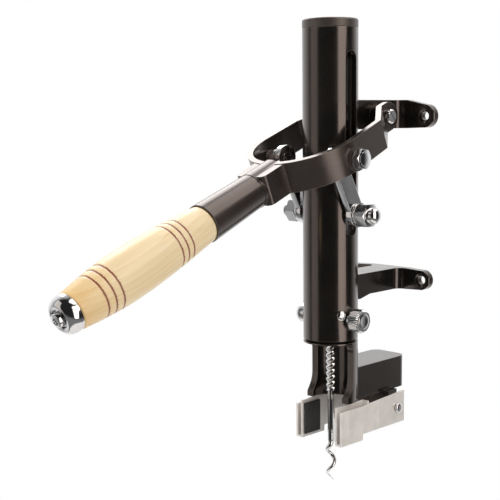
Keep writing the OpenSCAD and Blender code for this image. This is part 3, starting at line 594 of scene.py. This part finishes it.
def makeTwistTree():
    # a straight bar of lobed section, twisted at a steady lead, from Z = 0 down
    tree, given, end, op = newGeometryTree("twistedBar", {
        "Length": 0.11, "Lead": 0.018, "Outer radius": 0.004, "Root radius": 0.003, "Lobes": 4})
    line = lineAlongZ(tree, 0, op("MULTIPLY", given["Length"], -1.0), twistSize["rows"])
    turns = op("DIVIDE", pointPlaces(tree)[2], given["Lead"])
    tilted = addNode(tree, "GeometryNodeSetCurveTilt", -800, 100,
                     {"Curve": line, "Tilt": op("MULTIPLY", turns, -2 * math.pi)}).outputs[0]
    star = starCurve(tree, given["Lobes"], given["Outer radius"], given["Root radius"])
    fillet = addNode(tree, "GeometryNodeFilletCurve", -800, -400, {
        "Curve": star, "Count": twistSize["filletRows"], "Radius": twistSize["filletRadius"]}, mode="POLY")
    return closeTree(tree, given, end, sweep(tree, tilted, fillet.outputs[0]))


wormForm = {"rows": 260, "sides": 16, "growRate": 4.0, "taperFrom": 0.68, "taperLength": 0.33, "tip": 0.05}


def makeWormTree():
    # the worm: a straight shank from Z = 0 down, then a helix that grows out and thins to a point
    tree, given, end, op = newGeometryTree("wormWire", {
        "Shank": 0.038, "Helix length": 0.032, "Lead": 0.018, "Centre radius": 0.0027, "Shank wire": 0.0023,
        "Helix wire": 0.0014})
    whole = op("ADD", given["Shank"], given["Helix length"])
    line = lineAlongZ(tree, 0, op("MULTIPLY", whole, -1.0), wormForm["rows"])
    z = pointPlaces(tree)[2]
    past = op("MAXIMUM", op("SUBTRACT", op("MULTIPLY", z, -1.0), given["Shank"]), 0.0)
    part = op("DIVIDE", past, given["Helix length"])
    k = op("MULTIPLY", part, wormForm["growRate"], clamp=True)
    growth = op("MULTIPLY", op("MULTIPLY", k, k), op("MULTIPLY_ADD", k, -2.0, 3.0))
    radius = op("MULTIPLY", growth, given["Centre radius"])
    turn = op("MULTIPLY", op("DIVIDE", past, given["Lead"]), -2 * math.pi)
    thinning = op("SUBTRACT", given["Helix wire"], given["Shank wire"])
    wireMix = op("MULTIPLY_ADD", thinning, k, given["Shank wire"])
    beyond = op("MAXIMUM", op("SUBTRACT", part, wormForm["taperFrom"]), 0.0)
    taper = op("SUBTRACT", 1.0, op("DIVIDE", beyond, wormForm["taperLength"]))
    wire = op("MULTIPLY", wireMix, op("MAXIMUM", taper, wormForm["tip"]))
    coil = setPosition(tree, line, (op("MULTIPLY", radius, op("COSINE", turn)),
                                    op("MULTIPLY", radius, op("SINE", turn)), z))
    return closeTree(tree, given, end, sweep(tree, coil, unitCircle(tree, wormForm["sides"]), Scale=wire))


knurlForm = {"rows": 9, "rimPower": 14.0, "rimDepth": 0.13}


def makeKnurlTree():
    # a knurled cylinder along +Z: many small ridges round its side
    tree, given, end, op = newGeometryTree("knurledHead", {
        "Radius": 0.0085, "Length": 0.009, "Ridges": 44, "Ridge depth": 0.0004})
    root = op("SUBTRACT", given["Radius"], given["Ridge depth"])
    star = starCurve(tree, given["Ridges"], given["Radius"], root)
    line = lineAlongZ(tree, 0, given["Length"], knurlForm["rows"])
    # both rims are turned down by a small rounding
    half = op("MULTIPLY", given["Length"], 0.5)
    off = op("DIVIDE", op("ABSOLUTE", op("SUBTRACT", pointPlaces(tree)[2], half)), half)
    turnedDown = op("MULTIPLY", op("POWER", off, knurlForm["rimPower"]), knurlForm["rimDepth"])
    curved = op("SUBTRACT", 1.0, turnedDown)
    return closeTree(tree, given, end, sweep(tree, line, star, Scale=curved))


def makeGripTree():
    # the turned grip: a round bar with a swelling, an easing at its ends and grooves at their places
    grooveNames = ["Groove %d" % (i + 1) for i in range(len(gripSize["grooves"]))]
    tree, given, end, op = newGeometryTree("turnedGrip", {
        "Start": 0.175, "Length": 0.117, "Start radius": 0.0125, "Peak radius": 0.0164, "End radius": 0.0125,
        "Peak at": 0.6, "Groove depth": 0.0004, "Groove width": 0.001,
        **dict(zip(grooveNames, gripSize["grooves"]))})
    finish = op("ADD", given["Start"], given["Length"])
    line = lineAlongZ(tree, given["Start"], finish, gripSize["rows"])
    z = pointPlaces(tree)[2]
    t = op("DIVIDE", op("SUBTRACT", z, given["Start"]), given["Length"])
    rise = op("SINE", op("MULTIPLY", op("DIVIDE", t, given["Peak at"], clamp=True), math.pi / 2))
    past = op("MAXIMUM", op("SUBTRACT", t, given["Peak at"]), 0.0)
    fallPart = op("DIVIDE", past, op("SUBTRACT", 1.0, given["Peak at"]))
    fall = op("SUBTRACT", 1.0, op("COSINE", op("MULTIPLY", fallPart, math.pi / 2)))
    bulge = op("MULTIPLY", op("SUBTRACT", given["Peak radius"], given["Start radius"]), rise)
    drop = op("MULTIPLY", op("SUBTRACT", given["Peak radius"], given["End radius"]), fall)
    radius = op("SUBTRACT", op("ADD", given["Start radius"], bulge), drop)
    cut = None
    for grooveName in grooveNames:
        off = op("ABSOLUTE", op("SUBTRACT", z, given[grooveName]))
        deep = op("SUBTRACT", 1.0, op("DIVIDE", off, given["Groove width"]), clamp=True)
        cut = deep if cut is None else op("MAXIMUM", cut, deep)
    cut = op("SMOOTH_MIN", cut, *gripSize["grooveBlend"])
    radius = op("SUBTRACT", radius, op("MULTIPLY", cut, given["Groove depth"]))
    edge = op("MINIMUM", op("SUBTRACT", z, given["Start"]), op("SUBTRACT", finish, z))
    ease = op("SUBTRACT", 1.0, op("DIVIDE", edge, gripSize["easeLength"]), clamp=True)
    radius = op("SUBTRACT", radius, op("MULTIPLY", op("MULTIPLY", ease, ease), gripSize["easeDepth"]))
    return closeTree(tree, given, end, sweep(tree, line, unitCircle(tree, gripSize["sides"]), Scale=radius))


hexTree = makeHexTree()
twistTree = makeTwistTree()
wormTree = makeWormTree()
knurlTree = makeKnurlTree()
gripTree = makeGripTree()
print("stage: trees made")


# ---------- copies of CAD solids with rounded edges ----------

# node: piece, body, finish, export slot, width of the rounding in mm, its segments
copies = {
    "barrel": ("barrelTube", "frame", "enamel", "black_paint", 0.7, 3),
    "top_cap": ("barrelCap", "frame", "capEnamel", "black_paint", 0.8, 3),
    "upper_bracket": ("upperWingBracket", "frame", "enamel", "black_paint", 1.3, 3),
    "lower_bracket": ("lowerWingBracket", "frame", "enamel", "black_paint", 1.3, 3),
    "bottle_rest": ("bottleRestCasting", "frame", "enamel", "black_paint", 1.0, 3),
    "lever_ring": ("leverRingCasting", "lever", "ringEnamel", "black_paint", 1.0, 3),
    "handle_socket": ("handleSocketSleeve", "lever", "ringEnamel", "black_paint", 0.6, 3),
    "hinge_pin": ("hingePinPlated", "frame", "chrome", "chrome", 0.5, 2),
    "link_right": ("linkRightPlated", "link_right", "chrome", "chrome", 0.6, 2),
    "link_left": ("linkLeftPlated", "link_left", "chrome", "chrome", 0.6, 2),
    "link_stud_right": ("linkStudRight", "link_right", "chrome", "chrome", 0.5, 2),
    "link_stud_left": ("linkStudLeft", "link_left", "chrome", "chrome", 0.5, 2),
    "pivot_spacers": ("ringSpacers", "lever", "chrome", "chrome", 0.5, 2),
    "pivot_washers": ("ringWashers", "lever", "darkSteel", "steel", 0.3, 2),
    "link_washers": ("pinWashers", "carriage", "chrome", "chrome", 0.3, 2),
    "tie_rod_washer": ("tieRodWasher", "lever", "chrome", "chrome", 0.3, 2),
    "jaw_right": ("jawRightFolded", "jaw_right", "jawSteel", "chrome", 0.35, 2),
    "jaw_left": ("jawLeftFolded", "jaw_left", "jawSteel", "chrome", 0.35, 2),
    "jaw_pad_right": ("padRight", "jaw_right", "rubber", "rubber", 0.4, 2),
    "jaw_pad_left": ("padLeft", "jaw_left", "rubber", "rubber", 0.4, 2),
    "carriage": ("carriageBlock", "carriage", "steel", "steel", 0.6, 2),
    "trunnions": ("trunnionPins", "carriage", "steel", "steel", 0.4, 2),
}
for nodeName, (pieceName, body, finish, slotName, edge, segments) in copies.items():
    finishPiece(roundedCopy(nodeName, pieceName, edge * mm, segments), body, finish, slotName, nodeName)
print("stage: copies rounded")


# ---------- handle ----------

gripPiece = growPiece("turnedGripWood", gripTree, "wood", {
    "Start": gripSize["start"], "Length": gripSize["length"], "Start radius": gripSize["startRadius"],
    "Peak radius": gripSize["peakRadius"], "End radius": gripSize["endRadius"], "Peak at": gripSize["peakAt"],
    "Groove depth": gripSize["grooveDepth"], "Groove width": gripSize["grooveWidth"]},
    handleFrame, gripSize["sharpAngle"])
finishPiece(gripPiece, "lever", "wood", "wood", "wood_grip")

# in mm; rows are (radius, height): the rim's from its radius, the lip's and the foot's from the
# dome's top, the two edges' from the button's top
capSize = {
    "start": 292, "rimRadius": 12.4, "rimHeight": 2.4, "seat": 0.2, "domeHeight": 9.2, "domeAngle": 68,
    "domeRows": 14, "domePower": 0.9, "dishRadius": 6.4, "buttonRadius": 4.6, "buttonHeight": 12,
    "socketRadius": 2.3, "socketDepth": 2.5, "sides": 72, "sharpAngle": 40.0,
    "rim": [(-0.8, 0.2), (0, 0.6), (0, 2.4)], "lip": [(0.7, 0.05), (0.1, -0.35), (-0.3, -2.2)],
    "foot": [(0.5, -2.4), (0, -2.0)], "buttonEdge": [(0, -0.9), (-0.25, -0.3), (-0.9, 0)],
    "socketEdge": [(0.15, 0), (0, -0.2)],
}


def rowsFrom(radius, height, rows):
    return [(radius + r, height + h) for r, h in rows]


def makeEndCap(size):
    # a domed cap with a dished middle, where the tie rod's socket screw sits
    rim, dish, dome, top = (size[k] for k in ("rimRadius", "dishRadius", "domeHeight", "buttonHeight"))
    profile = [(0, size["seat"])] + rowsFrom(rim, 0, size["rim"])
    for k in range(1, size["domeRows"] + 1):
        angle = math.radians(k * size["domeAngle"] / size["domeRows"])
        part = math.sin(angle) / math.sin(math.radians(size["domeAngle"]))
        profile.append((dish + (rim - dish) * math.cos(angle) ** size["domePower"],
                        size["rimHeight"] + (dome - size["rimHeight"]) * part))
    profile += rowsFrom(dish, dome, size["lip"]) + rowsFrom(size["buttonRadius"], dome, size["foot"])
    profile += rowsFrom(size["buttonRadius"], top, size["buttonEdge"])
    profile += rowsFrom(size["socketRadius"], top, size["socketEdge"])
    profile += [(size["socketRadius"], top - size["socketDepth"]), (0, top - size["socketDepth"])]
    matrix = handleFrame @ shift(z=size["start"] * mm)
    return turnedPiece("endCapDome", inMillimetres(profile), size["sides"], matrix, size["sharpAngle"])


finishPiece(makeEndCap(capSize), "lever", "chrome", "chrome", "end_cap")
print("stage: handle made")


# ---------- fasteners ----------

# All fasteners' sizes are in mm; a profile's rows are (radius, height) from the seat outwards, and a
# dome's five numbers are its radius, base, rise, step in degrees and first angle

def makeHex(name, size, matrix):
    values = {"Corner radius": size["radius"] * mm, "Height": size["height"] * mm, "Chamfer": size["chamfer"]}
    return growPiece(name, hexTree, "chrome", values, matrix)


capNutSize = {"x": 28.4, "radius": 9.0, "height": 9.0, "chamfer": 0.55, "turn": 30,
              "domeFoot": [(0, -0.5), (5.6, -0.5), (5.6, 0.6), (5.6, 3.2)],
              "dome": (5.6, 3.2, 3.4, 8, 8), "domeSides": 48}
capNutParts = []
for side in (1, -1):
    seat = pinFrame @ alongX(side, capNutSize["x"] * mm)
    capNutParts.append(makeHex("capNutHex", capNutSize, seat @ spin(capNutSize["turn"], "Z")))
    dome = inMillimetres(capNutSize["domeFoot"] + domeRows(*capNutSize["dome"]))
    seat = seat @ shift(z=capNutSize["height"] * mm)
    capNutParts.append(turnedPiece("capNutDome", dome, capNutSize["domeSides"], seat))
finishPiece(joinMeshes("capNutsPlated", capNutParts), "carriage", "chrome", "chrome", "cap_nuts")

pivotSize = {"along": 68, "drop": 3, "head": 44.8, "radius": 7.5, "height": 4.4, "chamfer": 0.6,
             "shank": 4.0, "inner": 29.4, "ease": 0.5, "sides": 40,
             "crown": [(0, -0.3), (5.0, -0.3), (4.9, 0.25), (3.6, 0.62), (1.8, 0.82), (0, 0.88)]}
shankLength, ease = pivotSize["head"] - pivotSize["inner"], pivotSize["ease"]
shank = [(0, -shankLength), (pivotSize["shank"] - ease, -shankLength),
         (pivotSize["shank"], ease - shankLength), (pivotSize["shank"], ease), (0, ease)]
for side, label in ((1, "Right"), (-1, "Left")):
    seat = leverFrame @ shift(0, -pivotSize["along"] * mm, -pivotSize["drop"] * mm)
    seat = seat @ alongX(side, pivotSize["head"] * mm)
    parts = [makeHex("pivotHex", pivotSize, seat),
             turnedPiece("pivotCrown", inMillimetres(pivotSize["crown"]), pivotSize["sides"],
                         seat @ shift(z=pivotSize["height"] * mm)),
             turnedPiece("pivotShank", inMillimetres(shank), pivotSize["sides"], seat)]
    finishPiece(joinMeshes("pivotBoltPlated" + label, parts), "lever", "chrome", "chrome",
                "pivot_bolt_" + label.lower())

rodNutSize = {"along": 98.1, "radius": 8.6, "height": 6.5, "chamfer": 0.55, "turn": 30}
rodNut = makeHex("tieRodNutPlated", rodNutSize,
                 handleFrame @ shift(z=rodNutSize["along"] * mm) @ spin(rodNutSize["turn"], "Z"))
finishPiece(rodNut, "lever", "chrome", "chrome", "tie_rod_nut")

guideSize = {
    "z": -145, "barrel": 20, "knurlSeat": 22, "knurlRadius": 8.5, "knurlLength": 9, "ridges": 40,
    "ridgeDepth": 0.45, "ridgeAngle": 20.0, "collarSides": 40, "dishSides": 48, "domeSides": 56,
    "collar": [(0, -16), (3.6, -16), (4, -15.6), (4, -2), (6.3, -2), (6.5, -1.8), (6.5, 0.3), (0, 0.3)],
    "dish": [(0, 8.6), (5.6, 8.6), (5.7, 9.0), (5.1, 9.25), (4.4, 9.3), (2.6, 9.05), (0, 8.95)],
    "domeFoot": [(0, -14), (3.6, -14), (4, -13.6), (4, 0.3), (7.3, 0.3), (7.5, 0.5), (7.5, 5)],
    "dome": (7.5, 5, 6, 8, 8),
}
guideFrame = barrelAxis @ shift(z=guideSize["z"] * mm)
seat = guideFrame @ alongX(1, guideSize["knurlSeat"] * mm)
parts = [growPiece("knurl", knurlTree, "chrome", {
             "Radius": guideSize["knurlRadius"] * mm, "Length": guideSize["knurlLength"] * mm,
             "Ridges": guideSize["ridges"], "Ridge depth": guideSize["ridgeDepth"] * mm},
             seat, guideSize["ridgeAngle"])]
for part in ("collar", "dish"):
    parts.append(turnedPiece(part, inMillimetres(guideSize[part]), guideSize[part + "Sides"], seat))
finishPiece(joinMeshes("guideBoltKnurled", parts), "frame", "chrome", "chrome", "guide_bolt_right")
dome = inMillimetres(guideSize["domeFoot"] + domeRows(*guideSize["dome"]))
guideBolt = turnedPiece("guideBoltDomed", dome, guideSize["domeSides"],
                        guideFrame @ alongX(-1, guideSize["barrel"] * mm))
finishPiece(guideBolt, "frame", "chrome", "chrome", "guide_bolt_left")

# a crossed screw's roundings in mm, and its cross: turn in degrees, sides as shares of the head
crossSize = {"tipEase": 0.3, "rimEase": 0.15, "domeStep": 10, "sides": 56, "turn": 20, "long": 1.15,
             "wide": 0.26, "deep": 0.9}


def crossedHead(name, size, matrix):
    # a round screw head with a crossed recess cut into its dome
    names = ("radius", "height", "shank", "shankLength", "dome")
    radius, height, shank, length, dome = (size[name] for name in names)
    tip, rim = crossSize["tipEase"], crossSize["rimEase"]
    profile = [(0, -length), (shank - tip, -length), (shank, tip - length), (shank, 0), (radius - rim, 0),
               (radius, rim)]
    profile += domeRows(radius, height * (1 - dome), height * dome, crossSize["domeStep"], 0)
    piece = turnedPiece(name, inMillimetres(profile), crossSize["sides"], Matrix.Identity(4))
    bar = Matrix.Diagonal((radius * crossSize["long"] * mm, radius * crossSize["wide"] * mm,
                           height * crossSize["deep"] * mm, 1))
    cutters = []
    for quarter in (0, 90):
        bm = bmesh.new()
        bmesh.ops.create_cube(bm, size=1.0,
                              matrix=spin(quarter + crossSize["turn"], "Z") @ shift(z=height * mm) @ bar)
        cutters.append(meshPiece(name + "Cutter", bm))
        cut = piece.modifiers.new("cross", "BOOLEAN")
        cut.operation = "DIFFERENCE"
        cut.solver = "EXACT"
        cut.object = cutters[-1]
    bakeModifiers(piece)
    for cutter in cutters:
        bpy.data.objects.remove(cutter)
    piece.data.transform(matrix)
    shadeByAngle(piece.data, meshSize["sharpAngle"])
    return piece


jawScrewSize = {"x": 22.3, "y": 52, "z": -220, "radius": 3.5, "height": 2.5, "shank": 2.5,
                "shankLength": 16.3, "dome": 0.35}
jawScrews = []
for side in (1, -1):
    seat = barrelAxis @ alongX(side, *(jawScrewSize[k] * mm for k in ("x", "y", "z")))
    jawScrews.append(crossedHead("jawScrew", jawScrewSize, seat))
finishPiece(joinMeshes("jawScrewsCrossed", jawScrews), "frame", "chrome", "chrome", "jaw_screws")

lockScrewSize = {"turn": -28, "x": 20.2, "z": -141, "radius": 3.4, "height": 2.0, "shank": 2.0,
                 "shankLength": 3.5, "dome": 0.5}
lockSeat = barrelAxis @ spin(lockScrewSize["turn"], "Z")
lockSeat = lockSeat @ alongX(1, lockScrewSize["x"] * mm, 0, lockScrewSize["z"] * mm)
lockScrew = crossedHead("lockScrewCrossed", lockScrewSize, lockSeat)
finishPiece(lockScrew, "frame", "chrome", "chrome", "lock_screw")
print("stage: fasteners made")


# ---------- spindle and worm ----------

spindleSize = {
    "collarTop": -84, "twistTop": -86.2, "twistEnd": -200, "lead": 18, "outer": 4.0, "root": 2.75, "lobes": 4,
    "collarFoot": [(0, -0.2), (6.6, -0.2), (7, 0.2)], "collarEdge": [(7, -0.4), (6.6, 0), (4, 0)],
    "journalEdge": [(4, -0.6), (3.4, 0), (0, 0)], "journalSides": 48, "sharpAngle": 60.0,
}
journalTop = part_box("spindle")[1][2] / mm
bar = growPiece("twist", twistTree, "chrome", {
    "Length": (spindleSize["twistTop"] - spindleSize["twistEnd"]) * mm, "Lead": spindleSize["lead"] * mm,
    "Outer radius": spindleSize["outer"] * mm, "Root radius": spindleSize["root"] * mm,
    "Lobes": spindleSize["lobes"]},
    barrelAxis @ shift(z=spindleSize["twistTop"] * mm), spindleSize["sharpAngle"])
journal = (rowsFrom(0, spindleSize["twistTop"], spindleSize["collarFoot"])
           + rowsFrom(0, spindleSize["collarTop"], spindleSize["collarEdge"])
           + rowsFrom(0, journalTop, spindleSize["journalEdge"]))
journalPiece = turnedPiece("journal", inMillimetres(journal), spindleSize["journalSides"], barrelAxis)
finishPiece(joinMeshes("spindleTwisted", [bar, journalPiece]), "worm", "chrome", "chrome", "spindle")

wormSize = {"top": -200, "shank": 38, "helix": 32, "lead": 18, "centre": 2.7, "shankWire": 2.3,
            "helixWire": 1.4, "sharpAngle": 60.0}
wormPiece = growPiece("wormPolished", wormTree, "chrome", {
    "Shank": wormSize["shank"] * mm, "Helix length": wormSize["helix"] * mm, "Lead": wormSize["lead"] * mm,
    "Centre radius": wormSize["centre"] * mm, "Shank wire": wormSize["shankWire"] * mm,
    "Helix wire": wormSize["helixWire"] * mm},
    barrelAxis @ shift(z=wormSize["top"] * mm), wormSize["sharpAngle"])
finishPiece(wormPiece, "worm", "chrome", "chrome", "worm")
print("stage: spindle and worm made")

# CAD nodes that stay as they are get their finish here
keptNodes = {"bracket_screws": "enamel", "tie_rod": "steel", "spindle_nut": "steel",
             "thrust_washer": "bronze", "guide_nut": "bronze"}
for nodeName, finish in keptNodes.items():
    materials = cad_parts[nodeName].data.materials
    materials.clear()
    materials.append(finishes[finish])


# ---------- camera, floor and light ----------

view = {"position": (0.5064, -0.6672, 0.0028), "azimuth": 44.74, "pitch": 7.18, "roll": -0.635, "lens": 77.7,
        "sensor": 36, "near": 0.01}
azimuth, pitch, roll = (math.radians(view[k]) for k in ("azimuth", "pitch", "roll"))
ahead = Vector((-math.sin(azimuth) * math.cos(pitch), math.cos(azimuth) * math.cos(pitch), -math.sin(pitch)))
across = Vector((math.cos(azimuth), math.sin(azimuth), 0))
across = across * math.cos(roll) + across.cross(ahead) * math.sin(roll)
cameraData = bpy.data.cameras.new("photoCamera")
cameraData.lens = view["lens"]
cameraData.sensor_width = view["sensor"]
cameraData.clip_start = view["near"]
camera = bpy.data.objects.new("photoCamera", cameraData)
turned = Matrix((across, across.cross(ahead), -ahead)).transposed().to_4x4()
turned.translation = Vector(view["position"])
camera.matrix_world = turned
bpy.context.collection.objects.link(camera)
bpy.context.scene.camera = camera

# the studio: strengths of the world's parts, where each fades in, and the floor
studio = {
    "middle": Vector((0, -0.1, -0.08)), "dark": 0.02, "back": 1.0, "sweep": (-0.08, 0.65),
    "table": 0.2, "tableFade": (-0.2, -0.55), "floor": -0.62, "floorRadius": 0.5, "floorSides": 64,
    "floorColour": (0.82, 0.82, 0.81, 1), "floorRough": 0.9,
}


def fromCamera(turn, rise, distance):
    # a place seen from the object, turned to the camera's right and raised, both in degrees
    a, e = math.radians(turn), math.radians(rise)
    towards = Vector((-ahead.x, -ahead.y, 0)).normalized() * math.cos(a)
    sideways = Vector((across.x, across.y, 0)).normalized() * math.sin(a)
    direction = (towards + sideways) * math.cos(e) + Vector((0, 0, math.sin(e)))
    return studio["middle"] + direction * distance


def makeWorld():
    # the camera sees plain white; other rays find a white sweep behind the object, a pale table
    # below it and a dark room on the camera's side
    world = bpy.data.worlds.new("paleStudio")
    world.use_nodes = True
    tree = world.node_tree
    direction = addNode(tree, "ShaderNodeTexCoord", -1400, 0).outputs["Generated"]
    level = Vector((ahead.x, ahead.y, 0)).normalized()
    facing = addNode(tree, "ShaderNodeVectorMath", -1200, 100, {0: direction, 1: level},
                     operation="DOT_PRODUCT").outputs["Value"]
    back = mapRange(tree, facing, *studio["sweep"], -1000, 100,
                    {"To Min": studio["dark"], "To Max": studio["back"]}, interpolation_type="SMOOTHSTEP")
    height = splitVector(tree, direction, -1200, -200)[2]
    table = mapRange(tree, height, *studio["tableFade"], -1000, -200, {"To Max": studio["table"]},
                     interpolation_type="SMOOTHSTEP")
    path = addNode(tree, "ShaderNodeLightPath", -1000, 400).outputs
    seen = calc(tree, "MAXIMUM", path["Is Camera Ray"], path["Is Transmission Ray"])
    background = tree.nodes["Background"]
    background.inputs["Color"].default_value = (1, 1, 1, 1)
    room = calc(tree, "MAXIMUM", back, table)
    feed(tree, background.inputs["Strength"], calc(tree, "MAXIMUM", room, seen))
    bpy.context.scene.world = world


def makeFloor():
    # the camera sees it as plain white, other rays as a pale floor
    bm = bmesh.new()
    bmesh.ops.create_circle(bm, cap_ends=True, radius=studio["floorRadius"], segments=studio["floorSides"],
                            matrix=shift(z=studio["floor"]))
    floor = meshPiece("studioFloor", bm)
    material = bpy.data.materials.new("paleFloor")
    material.use_nodes = True
    tree = material.node_tree
    plain = tree.nodes["Principled BSDF"]
    setShader(tree, plain.inputs, Base_Color=studio["floorColour"], Roughness=studio["floorRough"])
    glow = addNode(tree, "ShaderNodeEmission", 0, -200)
    path = addNode(tree, "ShaderNodeLightPath", -800, 0)
    mix = addNode(tree, "ShaderNodeMixShader", 300, 0,
                  {0: path.outputs["Is Camera Ray"], 1: plain.outputs[0], 2: glow.outputs[0]})
    feed(tree, tree.nodes["Material Output"].inputs["Surface"], mix.outputs[0])
    floor.data.materials.append(material)


def addSoftbox(name, turn, rise, distance, width, height, radiance, tint, mirrored):
    light = bpy.data.lights.new(name, "AREA")
    light.shape = "RECTANGLE"
    light.size = width
    light.size_y = height
    light.energy = radiance * math.pi * width * height
    light.color = tint
    lamp = bpy.data.objects.new(name, light)
    lamp.location = fromCamera(turn, rise, distance)
    lamp.rotation_euler = (studio["middle"] - lamp.location).to_track_quat("-Z", "Y").to_euler()
    lamp.visible_glossy = mirrored
    lamp.visible_camera = False
    bpy.context.collection.objects.link(lamp)


makeWorld()
makeFloor()
# name: turn, rise, distance, width, height, radiance, tint, mirrored in glossy surfaces
softboxes = {
    "leftFill": (-50, 14, 1.5, 1.3, 1.6, 2.7, (1.0, 0.965, 0.93), False),
    "lowFill": (15, -38, 1.4, 1.2, 1.0, 1.1, (1.0, 0.965, 0.93), False),
    "leftSoftbox": (-74, 12, 1.5, 0.9, 1.9, 0.7, (1.0, 0.93, 0.87), True),
    "rightSoftbox": (44, 10, 1.5, 0.9, 1.9, 2.3, (1.0, 0.93, 0.87), True),
    "topSoftbox": (90, 62, 1.4, 1.3, 1.3, 2.0, (1.0, 0.95, 0.90), True),
    "backSoftbox": (-168, 42, 1.5, 1.2, 0.9, 3.0, (1.0, 0.97, 0.94), True),
}
for name, values in softboxes.items():
    addSoftbox(name, *values)
bpy.context.scene.view_settings.view_transform = "Standard"
print("stage: studio made")
